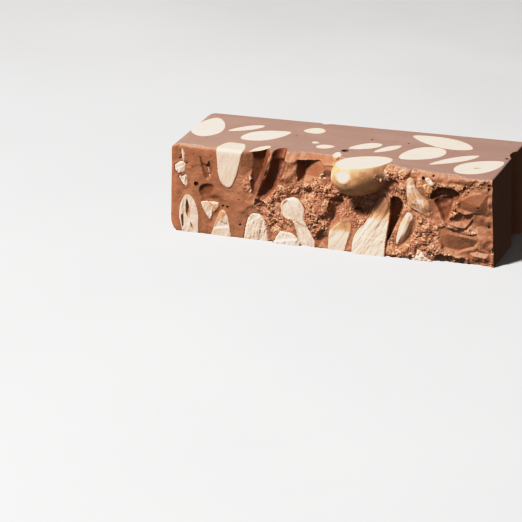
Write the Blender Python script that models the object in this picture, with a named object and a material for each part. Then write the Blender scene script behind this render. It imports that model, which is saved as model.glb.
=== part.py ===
"""A block of milk chocolate set with whole almonds: cast in a mould, sawn flat above and below, then snapped
along its front, so that almonds are cut through, stand out of the break, or have left their print in it.

Written in millimetres and built in metres, +Z up. The length runs along X and the snapped face looks towards -Y.
Each almond is its own solid in its own pocket.
"""

import math
from typing import NamedTuple

import bmesh
import bpy
from mathutils import Matrix, Vector, noise

MM = 0.001

# The cast block. The mould's end walls lean in, the two sawn faces part towards the left, and the back is askew.
BASE_HALF_LENGTH = 60.6
TOP_HALF_LENGTH = 59.4
HEIGHT = 32.55
TOP_FALL = 0.65 / 60  # drop of the upper saw cut for each millimetre along X
BACK_LEFT_Y = 17.4
BACK_RIGHT_Y = 24.1
CAST_FRONT_Y = -30.0  # in front of the break, so that the break alone shapes the front
LEFT_BASE_RADIUS = 4.0
LEFT_TOP_RADIUS = 1.2
LEFT_BACK_RADIUS = 2.6
RIGHT_BACK_RADIUS = 1.6
RIGHT_TOP_RADIUS = 0.8
ORIGIN_FROM_MIDDLE = (0.0, 1.3, 0.0)  # puts the middle of the whole, its jutting almond included, over the origin

# The break, as a sheet that bends away from a flat one.
BREAK_Y = -19.9
BREAK_CELL = 2.6
BREAK_BOW = 1.4  # how far the foot of the break stands forward in its middle
RECESS_AT_TOP = (  # x, and how far behind BREAK_Y the upper edge has gone there
    (-64, 0.0), (-29, 0.2), (-18, 4.4), (-8, 7.3), (3, 7.4), (21, 5.0), (31, 3.6), (42, 1.4), (51, 0.1), (64, 0.0),
)
RECESS_BELOW_EDGE = 0.5  # the share of it that is left under the slanting strip along the upper edge
EDGE_STRIP = (29.6, 32.3)  # heights between which that strip slants
SMOOTH_PART = (-36, -22)  # the break is smooth left of this stretch of X and craggy right of it
CRAG_HEIGHT = 1.1

GAP = 0.3  # between an almond and its pocket
TIP = 0.42  # how much slimmer an almond gets towards its tip
SIDES, RINGS = 12, 8  # facets round and along an almond
SMALL_NUT = 9.0  # shorter ones take fewer facets
PRINT_SIDES, PRINT_RINGS = 12, 8

CHOCOLATE_COLOUR = (0.30, 0.125, 0.062, 1.0)
CUT_ALMOND_COLOUR = (0.86, 0.72, 0.56, 1.0)
ROAST_ALMOND_COLOUR = (0.66, 0.40, 0.19, 1.0)


class Nut(NamedTuple):
    """An almond, or the print of one. Its size is length, width and thickness, and its tip points by heading,
    which turns from +X towards +Y, and by rise above the level. Roll turns it about its length, from lying flat."""

    name: str
    middle: tuple
    size: tuple
    heading: float = 0.0
    rise: float = 0.0
    roll: float = 0.0
    snapped_y: float | None = None  # where the break took its front off, at the height of its middle
    lean_back: float = 0.0  # how far that cut leans back, in degrees
    roast: bool = False
    part_of: str = ""  # the almond that this is one piece with


def top_height(x):
    """Height of the upper saw cut."""
    return HEIGHT - TOP_FALL * x


def smooth_step(value, low, high):
    """0 below low, 1 above high, and a soft ramp between."""
    share = min(1.0, max(0.0, (value - low) / (high - low)))
    return share * share * (3 - 2 * share)


def recess_at_top(x):
    """How far the break's upper edge lies behind BREAK_Y."""
    for (x0, deep0), (x1, deep1) in zip(RECESS_AT_TOP, RECESS_AT_TOP[1:]):
        if x <= x1:
            return deep0 + (deep1 - deep0) * smooth_step(x, x0, x1)
    return 0.0


def break_y(x, z):
    """The y of the snapped surface at x and z."""
    bow = BREAK_BOW * smooth_step(x, -40, -10) * (1 - smooth_step(x, 30, 58))
    lower, strip = smooth_step(z, 2, 26), smooth_step(z, *EDGE_STRIP)
    slope = recess_at_top(x) * (RECESS_BELOW_EDGE * lower + (1 - RECESS_BELOW_EDGE) * strip)
    slope -= bow * (1 - smooth_step(z, 0, 14))
    craggy = 0.15 + 0.85 * smooth_step(x, *SMOOTH_PART)
    crags = noise.noise(Vector((x * 0.16, 7.3, z * 0.19))) + 0.6 * noise.noise(Vector((x * 0.41, 1.7, z * 0.45)))
    return BREAK_Y + slope + craggy * CRAG_HEIGHT * crags


def sliced_above(name, x, y, heading, length, width, depth, sunk=0.6):
    """An almond that the upper saw cut went through a little above its middle."""
    return Nut(name, (x, y, top_height(x) - sunk), (length, width, depth), heading)


def sliced_below(name, x, y, heading, length, width, depth):
    """An almond that the lower saw cut went through."""
    return Nut(name, (x, y, 0.8), (length, width, depth), heading)


def in_break(name, x, z, rise, length, width, thickness, deep, snapped, **more):
    """An almond whose flat side looks out of the break. deep is how far its middle lies behind BREAK_Y, and
    snapped how far behind BREAK_Y it is broken off, or None where it is whole."""
    cut = None if snapped is None else BREAK_Y + snapped
    return Nut(name, (x, BREAK_Y + deep, z), (length, width, thickness), 0.0, rise, 90.0, cut, **more)


NUTS = (
    # Cut through by the upper saw cut, from left to right.
    sliced_above("almond_top_01", -53.0, 1.9, 94, 22.0, 12.0, 9.0),
    sliced_above("almond_top_02", -39.9, 4.7, 222, 15.0, 4.4, 8.0),
    sliced_above("almond_top_03", -30.4, -0.2, 40, 20.5, 10.6, 8.0),
    sliced_above("almond_top_04", -15.7, 10.4, 200, 8.2, 6.6, 6.0),
    sliced_above("almond_top_05", -6.3, -5.0, 22, 7.0, 4.2, 5.0),
    sliced_above("almond_top_06", 6.9, 0.0, 220, 13.0, 5.6, 8.0),
    sliced_above("almond_top_07", 15.2, -0.1, 234, 12.8, 4.0, 8.0),
    sliced_above("almond_top_08", 31.3, 13.6, 163, 26.5, 11.0, 8.5),
    sliced_above("almond_top_09", 28.2, -1.1, 230, 19.4, 12.6, 9.0),
    sliced_above("almond_top_10", 40.8, -3.8, 226, 21.4, 5.0, 9.0),
    sliced_above("almond_top_11", 51.4, -7.7, 51, 21.0, 12.2, 9.0),
    sliced_above("almond_top_12", -26.8, -14.6, 237, 9.8, 3.8, 6.0),
    sliced_above("almond_top_13", 0.4, -12.0, 100, 6.6, 3.2, 5.0),
    # On the front edge, cut by the saw and standing in the break.
    Nut("almond_edge_left", (-37.5, -16.8, 30.6), (29.0, 12.4, 12.0), 0, -94, 0, BREAK_Y - 0.15),
    Nut("almond_edge_big", (11.4, -16.0, 28.4), (27.0, 15.4, 16.0), 40, 0, 0, roast=True),
    # Broken off, or standing out, along the break from left to right.
    in_break("almond_break_01", -56.1, 22.4, 84, 14.6, 5.8, 7.0, 2.0, -0.1),
    in_break("almond_break_02", -53.4, 3.2, 93, 23.4, 8.2, 8.0, 1.5, -0.1),
    in_break("almond_break_03", -46.3, 9.4, -62, 9.4, 4.8, 4.0, 1.0, 0.0),
    in_break("almond_break_04", -41.0, -0.6, 88, 21.0, 8.6, 8.0, 1.8, -0.2),
    in_break("almond_break_05", -27.5, -0.4, -90, 22.6, 10.6, 9.0, 1.2, -0.3),
    in_break("almond_break_06", -13.9, 13.4, 60, 9.0, 7.8, 7.0, 2.4, 0.2),
    in_break("shard", -8.8, 4.2, 114, 18.0, 5.4, 7.0, 1.4, -0.8, part_of="almond_break_06"),
    in_break("almond_break_07", -15.8, -0.6, 90, 12.4, 9.8, 5.0, -0.2, -1.6),
    in_break("almond_break_08", 3.5, 1.2, -106, 23.0, 8.8, 8.0, 1.4, -1.0),
    in_break("almond_break_09", 15.7, 5.0, 75, 34.0, 13.4, 9.0, 2.2, -1.0, lean_back=12.0),
    in_break("almond_break_10", 27.4, 10.5, 68, 12.8, 4.6, 7.0, 0.9, None, roast=True),
    in_break("almond_break_11", 32.5, 22.6, 112, 15.2, 8.4, 7.0, 1.6, None, roast=True),
    in_break("almond_break_12", 36.8, 29.2, -50, 5.4, 3.2, 4.4, 0.9, -0.3),
    in_break("almond_break_13", 33.6, -1.6, 92, 12.6, 9.6, 7.0, 0.4, -1.9),
    # Cut through by the lower saw cut, behind the break.
    sliced_below("almond_base_01", -44.0, -3.0, 30, 22.0, 11.0, 8.0),
    sliced_below("almond_base_02", -25.0, 8.0, 140, 23.0, 10.0, 8.0),
    sliced_below("almond_base_03", -8.0, -5.0, 75, 15.0, 5.0, 8.0),
    sliced_below("almond_base_04", 6.0, 7.0, 200, 22.0, 12.0, 8.0),
    sliced_below("almond_base_05", 26.0, 0.0, 310, 24.0, 9.0, 8.0),
    sliced_below("almond_base_06", 44.0, 11.0, 20, 21.0, 11.5, 8.0),
    sliced_below("almond_base_07", 48.0, -8.0, 100, 16.0, 5.5, 8.0),
)

# Hollows that almonds left when the block snapped, and the smooth dents that it broke along.
PRINTS = (
    in_break("cup", -46.2, 17.2, 90, 7.4, 6.4, 7.0, 0.2, None),
    in_break("channel", -46.0, 24.8, -84, 11.0, 5.0, 6.0, 0.2, None),
    in_break("slot_left", -27.9, 24.7, -80, 16.0, 8.8, 11.0, 1.0, None),
    in_break("slot_long", -22.2, 22.8, 68, 25.0, 5.8, 13.0, 1.8, None),
    in_break("corner", -9.8, 25.2, -78, 12.0, 8.6, 10.0, 5.8, None),
    in_break("lens", 42.8, 25.1, 178, 12.4, 5.6, 10.0, 1.2, None),
    in_break("wedge", 43.4, 19.6, -88, 13.5, 11.0, 8.0, 0.4, None),
    in_break("dish", 46.2, 8.4, 8, 15.0, 9.0, 6.4, -1.2, None),
    in_break("under_big_almond", 6.4, 16.8, 14, 17.0, 9.6, 10.0, 5.6, None),
    in_break("cleft", 24.0, 14.6, 74, 15.0, 2.6, 7.0, 1.6, None),
)
BUBBLES = (  # middle and diameter of the largest bubbles that the saw and the break opened
    ((1.6, -6.9, top_height(1.6) - 0.6), 2.9),
    ((-50.2, BREAK_Y + 0.4, 18.8), 2.0),
    ((34.2, BREAK_Y + 1.6, 29.6), 1.9),
)
NICK = ((-14.5, 20.6, top_height(-14.5)), 3.4)  # knocked out of the upper back edge
FLUTE_X, FLUTE_Y, FLUTE_RADIUS, FLUTE_LEAN = 64.4, 9.5, 6.4, 1.5  # the upright hollow in the right end


def clear_scene():
    for obj in list(bpy.data.objects):
        bpy.data.objects.remove(obj)


def material(name, colour, roughness):
    made = bpy.data.materials.new(name)
    made.use_nodes = True
    shader = made.node_tree.nodes["Principled BSDF"]
    shader.inputs["Base Color"].default_value = colour
    shader.inputs["Roughness"].default_value = roughness
    shader.inputs["Metallic"].default_value = 0.0
    made.diffuse_color = colour
    return made


def add_object(name, bm, finish, collection=None):
    """Turns a bmesh in millimetres into an object in metres."""
    bmesh.ops.recalc_face_normals(bm, faces=bm.faces)
    bmesh.ops.translate(bm, vec=ORIGIN_FROM_MIDDLE, verts=bm.verts)
    bmesh.ops.scale(bm, vec=(MM, MM, MM), verts=bm.verts)
    mesh = bpy.data.meshes.new(name)
    bm.to_mesh(mesh)
    bm.free()
    obj = bpy.data.objects.new(name, mesh)
    (collection or bpy.context.scene.collection).objects.link(obj)
    if finish:
        mesh.materials.append(finish)
        mesh.shade_smooth()
        mesh.set_sharp_from_angle(angle=math.radians(35))
    return obj


def almond_mesh(nut, sides, rings, grow=0.0):
    """A whole almond, pointed at one end, swollen by grow on every side."""
    bm = bmesh.new()
    bmesh.ops.create_uvsphere(bm, u_segments=sides, v_segments=rings, radius=1.0)
    half = [0.5 * side + grow for side in nut.size]
    for vertex in bm.verts:
        along = vertex.co.z
        slim = 1 - TIP * (1 + along) / 2
        fill = 1 / (1 - TIP / 2.6)  # keeps the widest ring at the stated width
        vertex.co = (half[0] * along, half[1] * vertex.co.x * slim * fill, half[2] * vertex.co.y * slim * fill)
    turn = (
        Matrix.Rotation(math.radians(nut.heading), 4, "Z")
        @ Matrix.Rotation(math.radians(-nut.rise), 4, "Y")
        @ Matrix.Rotation(math.radians(nut.roll), 4, "X")
    )
    bmesh.ops.transform(bm, matrix=Matrix.Translation(nut.middle) @ turn, verts=bm.verts)
    return bm


def cut_off(bm, point, normal):
    """Cuts away what lies beyond a plane and closes the cut with one flat face."""
    ring = bmesh.ops.bisect_plane(
        bm,
        geom=bm.verts[:] + bm.edges[:] + bm.faces[:],
        plane_co=point,
        plane_no=normal,
        dist=1e-4,
        clear_outer=True,
    )["geom_cut"]
    edges = [item for item in ring if isinstance(item, bmesh.types.BMEdge)]
    if edges:
        bmesh.ops.edgeloop_fill(bm, edges=edges)


def facets(nut):
    """How many facets an almond takes round and along."""
    return (SIDES - 2, RINGS - 2) if nut.size[0] < SMALL_NUT else (SIDES, RINGS)


def make_almond(nut, finish):
    """The almond as it shows: sawn level with the block, and snapped where the block was."""
    bm = almond_mesh(nut, *facets(nut))
    cut_off(bm, (0, 0, HEIGHT), (TOP_FALL, 0, 1))
    cut_off(bm, (0, 0, 0), (0, 0, -1))
    if nut.snapped_y is not None:
        lean = math.radians(nut.lean_back)
        cut_off(bm, (nut.middle[0], nut.snapped_y, nut.middle[2]), (0, -math.cos(lean), math.sin(lean)))
    return add_object(nut.name, bm, finish)


def mould_radius(ends):
    """How round the mould left the edge between two corners."""
    left, right = (all(end.x * side > 0 for end in ends) for side in (-1, 1))
    back = all(end.y > 0 for end in ends)
    low, high = (all((end.z > 1) is up for end in ends) for up in (False, True))
    if left and not back:
        return LEFT_BASE_RADIUS if low else LEFT_TOP_RADIUS if high else 0.0
    if left:
        return LEFT_BACK_RADIUS
    if right:
        return RIGHT_BACK_RADIUS if back else RIGHT_TOP_RADIUS if high else 0.0
    return 0.0


def make_cast_block(finish):
    """The block as it left the mould and the saw: a tapered box with the mould's rounded edges."""
    bm = bmesh.new()
    bmesh.ops.create_cube(bm, size=2.0)
    for vertex in bm.verts:
        right, back, up = (value > 0 for value in vertex.co)
        x = (TOP_HALF_LENGTH if up else BASE_HALF_LENGTH) * (1 if right else -1)
        slant = (x / BASE_HALF_LENGTH + 1) / 2
        y = BACK_LEFT_Y + (BACK_RIGHT_Y - BACK_LEFT_Y) * slant if back else CAST_FRONT_Y
        vertex.co = (x, y, top_height(x) if up else 0.0)
    weights = bm.edges.layers.float.new("bevel_weight_edge")
    for edge in bm.edges:
        edge[weights] = mould_radius([vertex.co for vertex in edge.verts]) / LEFT_BASE_RADIUS
    block = add_object("chocolate", bm, finish)
    rounding = block.modifiers.new("mould_edges", "BEVEL")
    rounding.limit_method = "WEIGHT"
    rounding.width = LEFT_BASE_RADIUS * MM
    rounding.segments = 4
    return block


def make_break(collection):
    """What snapped off the front: a thick slab whose back is the break."""
    bm = bmesh.new()
    x_half, z_low, z_high = 66.0, -4.0, 40.0
    across, upright = round(2 * x_half / BREAK_CELL), round((z_high - z_low) / BREAK_CELL)
    bmesh.ops.create_grid(bm, x_segments=across, y_segments=upright, size=1.0)
    for vertex in bm.verts:
        x = vertex.co.x * x_half
        z = z_low + (z_high - z_low) * (vertex.co.y + 1) / 2
        vertex.co = (x, break_y(x, z), z)
    front = bmesh.ops.extrude_face_region(bm, geom=bm.faces[:])["geom"]
    for vertex in (item for item in front if isinstance(item, bmesh.types.BMVert)):
        vertex.co.y = CAST_FRONT_Y - 8
    return add_object("snapped_off", bm, None, collection)


def make_cutters(collection):
    """Pockets that hold the almonds, prints of lost ones, bubbles, the nick and the end's flute."""
    for nut in NUTS:
        add_object("pocket_" + nut.name, almond_mesh(nut, *facets(nut), grow=GAP), None, collection)
    for nut in PRINTS:
        add_object("print_" + nut.name, almond_mesh(nut, PRINT_SIDES, PRINT_RINGS), None, collection)
    for number, (middle, diameter) in enumerate((*BUBBLES, NICK)):
        bm = bmesh.new()
        bmesh.ops.create_uvsphere(bm, u_segments=8, v_segments=6, radius=diameter / 2)
        bmesh.ops.translate(bm, vec=middle, verts=bm.verts)
        add_object(f"bubble_{number}", bm, None, collection)
    bm = bmesh.new()
    bmesh.ops.create_cone(
        bm, segments=24, radius1=FLUTE_RADIUS + FLUTE_LEAN, radius2=FLUTE_RADIUS, depth=HEIGHT + 8, cap_ends=True
    )
    bmesh.ops.translate(bm, vec=(FLUTE_X, FLUTE_Y, HEIGHT / 2), verts=bm.verts)
    add_object("flute", bm, None, collection)


def cut(obj, collection):
    """Cuts everything in a collection out of an object."""
    carve = obj.modifiers.new(collection.name, "BOOLEAN")
    carve.operation = "DIFFERENCE"
    carve.operand_type = "COLLECTION"
    carve.collection = collection


def fuse(obj, other):
    """Makes one solid of an object and another, which stays behind as a helper."""
    join = obj.modifiers.new(other.name, "BOOLEAN")
    join.operation = "UNION"
    join.object = other
    make_helper(other)


def make_helper(obj):
    """Keeps an object out of the finished model."""
    obj.hide_render = True
    obj.display_type = "WIRE"


def cutter_collection(name):
    """A collection whose objects are all cut out of another one."""
    made = bpy.data.collections.new(name)
    bpy.context.scene.collection.children.link(made)
    return made


def main():
    clear_scene()
    chocolate = material("milk_chocolate", CHOCOLATE_COLOUR, 0.45)
    cut_almond = material("cut_almond", CUT_ALMOND_COLOUR, 0.6)
    roast_almond = material("roast_almond", ROAST_ALMOND_COLOUR, 0.5)

    block = make_cast_block(chocolate)
    snapped, hollows = cutter_collection("snapped"), cutter_collection("hollows")
    make_break(snapped)
    make_cutters(hollows)
    for cutter in (*snapped.objects, *hollows.objects):
        make_helper(cutter)
    cut(block, snapped)
    cut(block, hollows)
    for nut in NUTS:
        almond = make_almond(nut, roast_almond if nut.roast else cut_almond)
        if nut.part_of:
            fuse(bpy.data.objects[nut.part_of], almond)


main()
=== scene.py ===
"""The looks of a block of milk chocolate set with whole almonds, sawn flat above and below and snapped along
its front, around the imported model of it.

Written in millimetres, in the block's own layout, and put into the frame in metres as each piece is finished:
the length runs along X, the snapped face looks towards -Y, and the lower saw cut lies on the floor.
"""

import logging
import math
import random
from dataclasses import dataclass, field
from enum import Enum
from typing import Callable

import bpy
import numpy as np
from mathutils import Matrix, Vector, noise
from mathutils.bvhtree import BVHTree


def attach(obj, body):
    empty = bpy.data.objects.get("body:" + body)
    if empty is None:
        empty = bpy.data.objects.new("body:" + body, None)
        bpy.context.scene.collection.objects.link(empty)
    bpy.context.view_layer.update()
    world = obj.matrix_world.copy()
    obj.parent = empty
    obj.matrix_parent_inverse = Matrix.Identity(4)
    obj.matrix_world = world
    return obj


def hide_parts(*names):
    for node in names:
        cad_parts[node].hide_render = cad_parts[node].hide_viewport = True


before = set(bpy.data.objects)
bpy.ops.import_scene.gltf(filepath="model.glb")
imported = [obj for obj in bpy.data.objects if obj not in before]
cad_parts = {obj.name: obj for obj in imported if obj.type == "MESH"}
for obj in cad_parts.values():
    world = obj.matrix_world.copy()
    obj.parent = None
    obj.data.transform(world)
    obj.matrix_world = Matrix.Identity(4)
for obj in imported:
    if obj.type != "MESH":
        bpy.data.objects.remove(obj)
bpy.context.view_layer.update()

log = logging.getLogger("almond_chocolate")

MM = 0.001
ORIGIN_FROM_MIDDLE = Vector((0.0, 1.3, 0.0))  # what the frame's origin is moved by, as the solids are
TO_FRAME = Matrix.Scale(MM, 4) @ Matrix.Translation(ORIGIN_FROM_MIDDLE)
BODY = "root"

# The block, as cast and sawn.
BASE_HALF_LENGTH = 60.6
TOP_HALF_LENGTH = 59.4
HEIGHT = 32.55
TOP_FALL = 0.65 / 60  # drop of the upper saw cut for each millimetre along X
BACK_LEFT_Y = 17.4
BACK_RIGHT_Y = 24.1
CAST_FRONT_Y = -30.0
BREAK_Y = -19.9
EDGE_ROLL = (1.2, 0.4)  # how far back warm hands rounded the upper edge of the break, and how far down

PROUD = 0.03  # how far a sawn almond stands above the chocolate
# The saw cuts, each by a point and the normal.
TOP_CUT = (Vector((0.0, 0.0, HEIGHT + PROUD)), Vector((TOP_FALL, 0.0, 1.0)).normalized())
BASE_CUT = (Vector((0.0, 0.0, 0.0)), Vector((0.0, 0.0, -1.0)))
LEVEL = 0.9999  # a face belongs to a saw cut when its normal is this much the cut's own
RIM = 0.3  # how wide the skin shows round a sawn almond
SHARD_RIM = 0.12  # the same round one that is broken too

TIP = 0.42  # how much slimmer an almond gets towards its tip
TIGHT = -0.05  # how much larger a pocket is than its almond on every side: smaller, so that no gap shows
IN_SLIT = -1.0  # what the flesh attribute says inside a slit

Array = np.ndarray
Object = bpy.types.Object
Socket = bpy.types.NodeSocket
Pair = tuple[float, float]
Point = tuple[float, float, float]
Colour = tuple[float, float, float]
Outline = tuple[Pair, ...]  # corners in the face of the break, x and z in turn


class Slot(Enum):
    """The record's material slots."""

    CHOCOLATE = "milk_chocolate"
    CUT_ALMOND = "cut_almond"
    ROAST_ALMOND = "roast_almond"


class Skin(Enum):
    """What made a stretch of the chocolate's surface; the dark print skin is also laid on deep places as
    painted shade.
    """

    SAWN = "sawn"
    MOULDED = "moulded"
    BROKEN = "broken"
    # the smooth dark skin of an almond's print, also laid on deep places as painted shade
    PRINT = "print_and_shade"
    CRUMBLY = "crumbly"


SLOT_SKINS = (Skin.SAWN, Skin.MOULDED, Skin.BROKEN)  # those with a material slot of their own on the block
BLENDED_SKINS = (Skin.PRINT, Skin.CRUMBLY, Skin.SAWN, Skin.MOULDED)  # those that the broken one turns into


# ---------------------------------------------------------------------------------------------- small helpers


def smooth_step(values: Array, low: float, high: float) -> Array:
    """A soft ramp, from 0 at low to 1 at high."""
    share = np.clip((values - low) / (high - low), 0.0, 1.0)
    return share * share * (3 - 2 * share)


def top_height(x: Array | float) -> Array | float:
    """Height of the upper saw cut at x."""
    return HEIGHT - TOP_FALL * x


def edge_roll(xs: Array, zs: Array) -> Array:
    """How far back the front lies where warm hands rounded its upper edge."""
    return EDGE_ROLL[0] * np.exp(-np.maximum(0.0, top_height(xs) - zs) / EDGE_ROLL[1])


def rough(xs: Array, ys: Array | float, zs: Array | float) -> Array:
    """Smooth noise from -1 to 1 at points in space."""
    return np.array([noise.noise(Vector(spot)) for spot in np.broadcast(xs, ys, zs)])


def turned(xs: Array, zs: Array, degrees: float) -> tuple[Array, Array]:
    """Places on the front, measured along and across a direction that turns from +X towards +Z."""
    slope = math.radians(degrees)
    return xs * math.cos(slope) + zs * math.sin(slope), zs * math.cos(slope) - xs * math.sin(slope)


def ring_of(outline: Outline, count: int, soften: float) -> Array:
    """Points at equal steps along a closed outline, with its corners softened.

    Args:
        outline: the corners.
        count: how many points.
        soften: how far along the outline a corner is softened, in millimetres.

    Returns:
        The points, one row each.
    """
    corners = np.array((*outline, outline[0]))
    along = np.concatenate(([0.0], np.cumsum(np.linalg.norm(np.diff(corners, axis=0), axis=1))))
    places = np.linspace(0.0, along[-1], count, endpoint=False)
    ring = np.column_stack([np.interp(places, along, corners[:, axis]) for axis in (0, 1)])
    reach = round(0.5 * soften * count / along[-1])
    for _ in range(2):
        ring = sum(np.roll(ring, shift, axis=0) for shift in range(-reach, reach + 1)) / (2 * reach + 1)
    return ring


def outside(outline: Outline, xs: Array, zs: Array, margin: float = 3.0, soften: float = 1.2) -> Array:
    """How far places on the front lie outside an outline.

    Args:
        outline: the corners.
        xs: where the places lie.
        zs: where the places lie.
        margin: further out than this nothing is measured.
        soften: how far along the outline a corner is softened.

    Returns:
        The distances, less than 0 inside.
    """
    ring = ring_of(outline, 64, soften)
    (left, low), (right, high) = ring.min(axis=0) - margin, ring.max(axis=0) + margin
    near = np.nonzero((xs > left) & (xs < right) & (zs > low) & (zs < high))[0]
    spots = np.column_stack((xs[near], zs[near]))
    nearest = np.full(len(near), margin)
    inside = np.zeros(len(near), dtype=bool)
    for start, end in zip(ring, np.roll(ring, -1, axis=0)):
        edge = end - start
        share = np.clip((spots - start) @ edge / (edge @ edge), 0.0, 1.0)
        nearest = np.minimum(nearest, np.linalg.norm(spots - start - share[:, None] * edge, axis=1))
        if start[1] != end[1]:
            crosses = (start[1] > spots[:, 1]) != (end[1] > spots[:, 1])
            inside ^= crosses & (spots[:, 0] < start[0] + (spots[:, 1] - start[1]) * edge[0] / edge[1])
    distances = np.full(len(xs), margin)
    distances[near] = np.where(inside, -nearest, nearest)
    return distances


def read_points(obj: Object) -> Array:
    """The vertices of an object.

    Args:
        obj: the object.

    Returns:
        The points, one row each.
    """
    points = np.empty(len(obj.data.vertices) * 3)
    obj.data.vertices.foreach_get("co", points)
    return points.reshape(-1, 3)


def write_points(obj: Object, points: Array) -> None:
    """Moves the vertices of an object to the rows of an array."""
    obj.data.vertices.foreach_set("co", np.ascontiguousarray(points, dtype=np.float64).ravel())
    obj.data.update()


def stored(obj: Object, name: str) -> Array:
    """The values of an attribute.

    Args:
        obj: the object.
        name: the attribute.

    Returns:
        A value for each vertex.
    """
    values = np.empty(len(obj.data.vertices))
    obj.data.attributes[name].data.foreach_get("value", values)
    return values


def store(obj: Object, name: str, values: Array | float) -> None:
    """Stores a value for each vertex of an object, or the same for all, as an attribute."""
    attribute = obj.data.attributes.get(name) or obj.data.attributes.new(name, "FLOAT", "POINT")
    attribute.data.foreach_set("value", np.zeros(len(obj.data.vertices)) + values)


def pick(obj: Object) -> None:
    """Makes an object the active one and the only one selected.

    Args:
        obj: the object.
    """
    bpy.ops.object.select_all(action="DESELECT")
    obj.select_set(True)
    bpy.context.view_layer.objects.active = obj


def name_last(name: str) -> Object:
    """Names the primitive that was just added, and its mesh.

    Args:
        name: the name.

    Returns:
        The object.
    """
    obj = bpy.context.object
    obj.name = obj.data.name = name
    return obj


def add_object(name: str, data: bpy.types.ID) -> Object:
    """Puts an object of its own round a mesh, a lamp or a camera.

    Args:
        name: the name of the object.
        data: what it holds.

    Returns:
        The object.
    """
    obj = bpy.data.objects.new(name, data)
    bpy.context.scene.collection.objects.link(obj)
    return obj


def edit_all(obj: Object, *steps: Callable[[], object]) -> None:
    """Runs operators in edit mode with the whole mesh selected before each.

    Args:
        obj: the object to edit.
        steps: the operators, ready to call.
    """
    pick(obj)
    bpy.ops.object.mode_set(mode="EDIT")
    for step in steps:
        bpy.ops.mesh.select_all(action="SELECT")
        step()
    bpy.ops.object.mode_set(mode="OBJECT")


def face_outwards(obj: Object) -> None:
    """Turns all faces of a closed mesh outwards."""
    edit_all(obj, lambda: bpy.ops.mesh.normals_make_consistent(inside=False))


def smooth_below(obj: Object, degrees: float) -> None:
    """Shades an object smooth, except where its faces meet at a sharper angle."""
    pick(obj)
    bpy.ops.object.shade_smooth_by_angle(angle=math.radians(degrees))


def apply_modifier(obj: Object, kind: str, **settings: object) -> None:
    """Adds a modifier to an object and applies it.

    Args:
        obj: the object to change.
        kind: Blender's name of the modifier.
        settings: the modifier's own settings.
    """
    pick(obj)
    modifier = obj.modifiers.new(kind.lower(), kind)
    for name, value in settings.items():
        setattr(modifier, name, value)
    bpy.ops.object.modifier_apply(modifier=modifier.name)


def carve(obj: Object, cutters: list[Object], operation: str = "DIFFERENCE") -> None:
    """Cuts other objects out of one, which takes their materials along the cut, and removes them.

    Args:
        obj: the object that is cut.
        cutters: closed meshes.
        operation: DIFFERENCE to cut, UNION to fuse.
    """
    group = bpy.data.collections.new("cutters")
    bpy.context.scene.collection.children.link(group)
    for cutter in cutters:
        for home in list(cutter.users_collection):
            home.objects.unlink(cutter)
        group.objects.link(cutter)
    how = {"operation": operation, "solver": "MANIFOLD", "material_mode": "TRANSFER"}
    apply_modifier(obj, "BOOLEAN", operand_type="COLLECTION", collection=group, **how)
    for cutter in cutters:
        bpy.data.objects.remove(cutter)
    bpy.data.collections.remove(group)


def bisect(obj: Object, point: Point, normal: Point, clear: bool, fill: bool) -> None:
    """Cuts an object through by a plane.

    Args:
        obj: the object.
        point: a point of the plane.
        normal: towards the side that is cut away.
        clear: whether that side goes.
        fill: whether the cut is closed.
    """
    how = {"clear_outer": clear, "use_fill": fill, "threshold": 1e-5}
    edit_all(obj, lambda: bpy.ops.mesh.bisect(plane_co=point, plane_no=normal, **how))


def finish_piece(piece: Object, slot: Slot, *nodes: str) -> None:
    """Puts a piece into the frame, attaches it to the body and hides the solids that it stands for.

    Args:
        piece: the finished mesh, in millimetres.
        slot: the record's slot for its finish; not used.
        nodes: the solids that it stands for.
    """
    piece.data.transform(TO_FRAME)
    piece.data.update()
    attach(piece, BODY)
    if nodes:
        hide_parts(*nodes)
    piece.data.calc_loop_triangles()
    log.info("%-26s %7d triangles", piece.name, len(piece.data.loop_triangles))


# --------------------------------------------------------------------------------------------------- finishes


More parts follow.
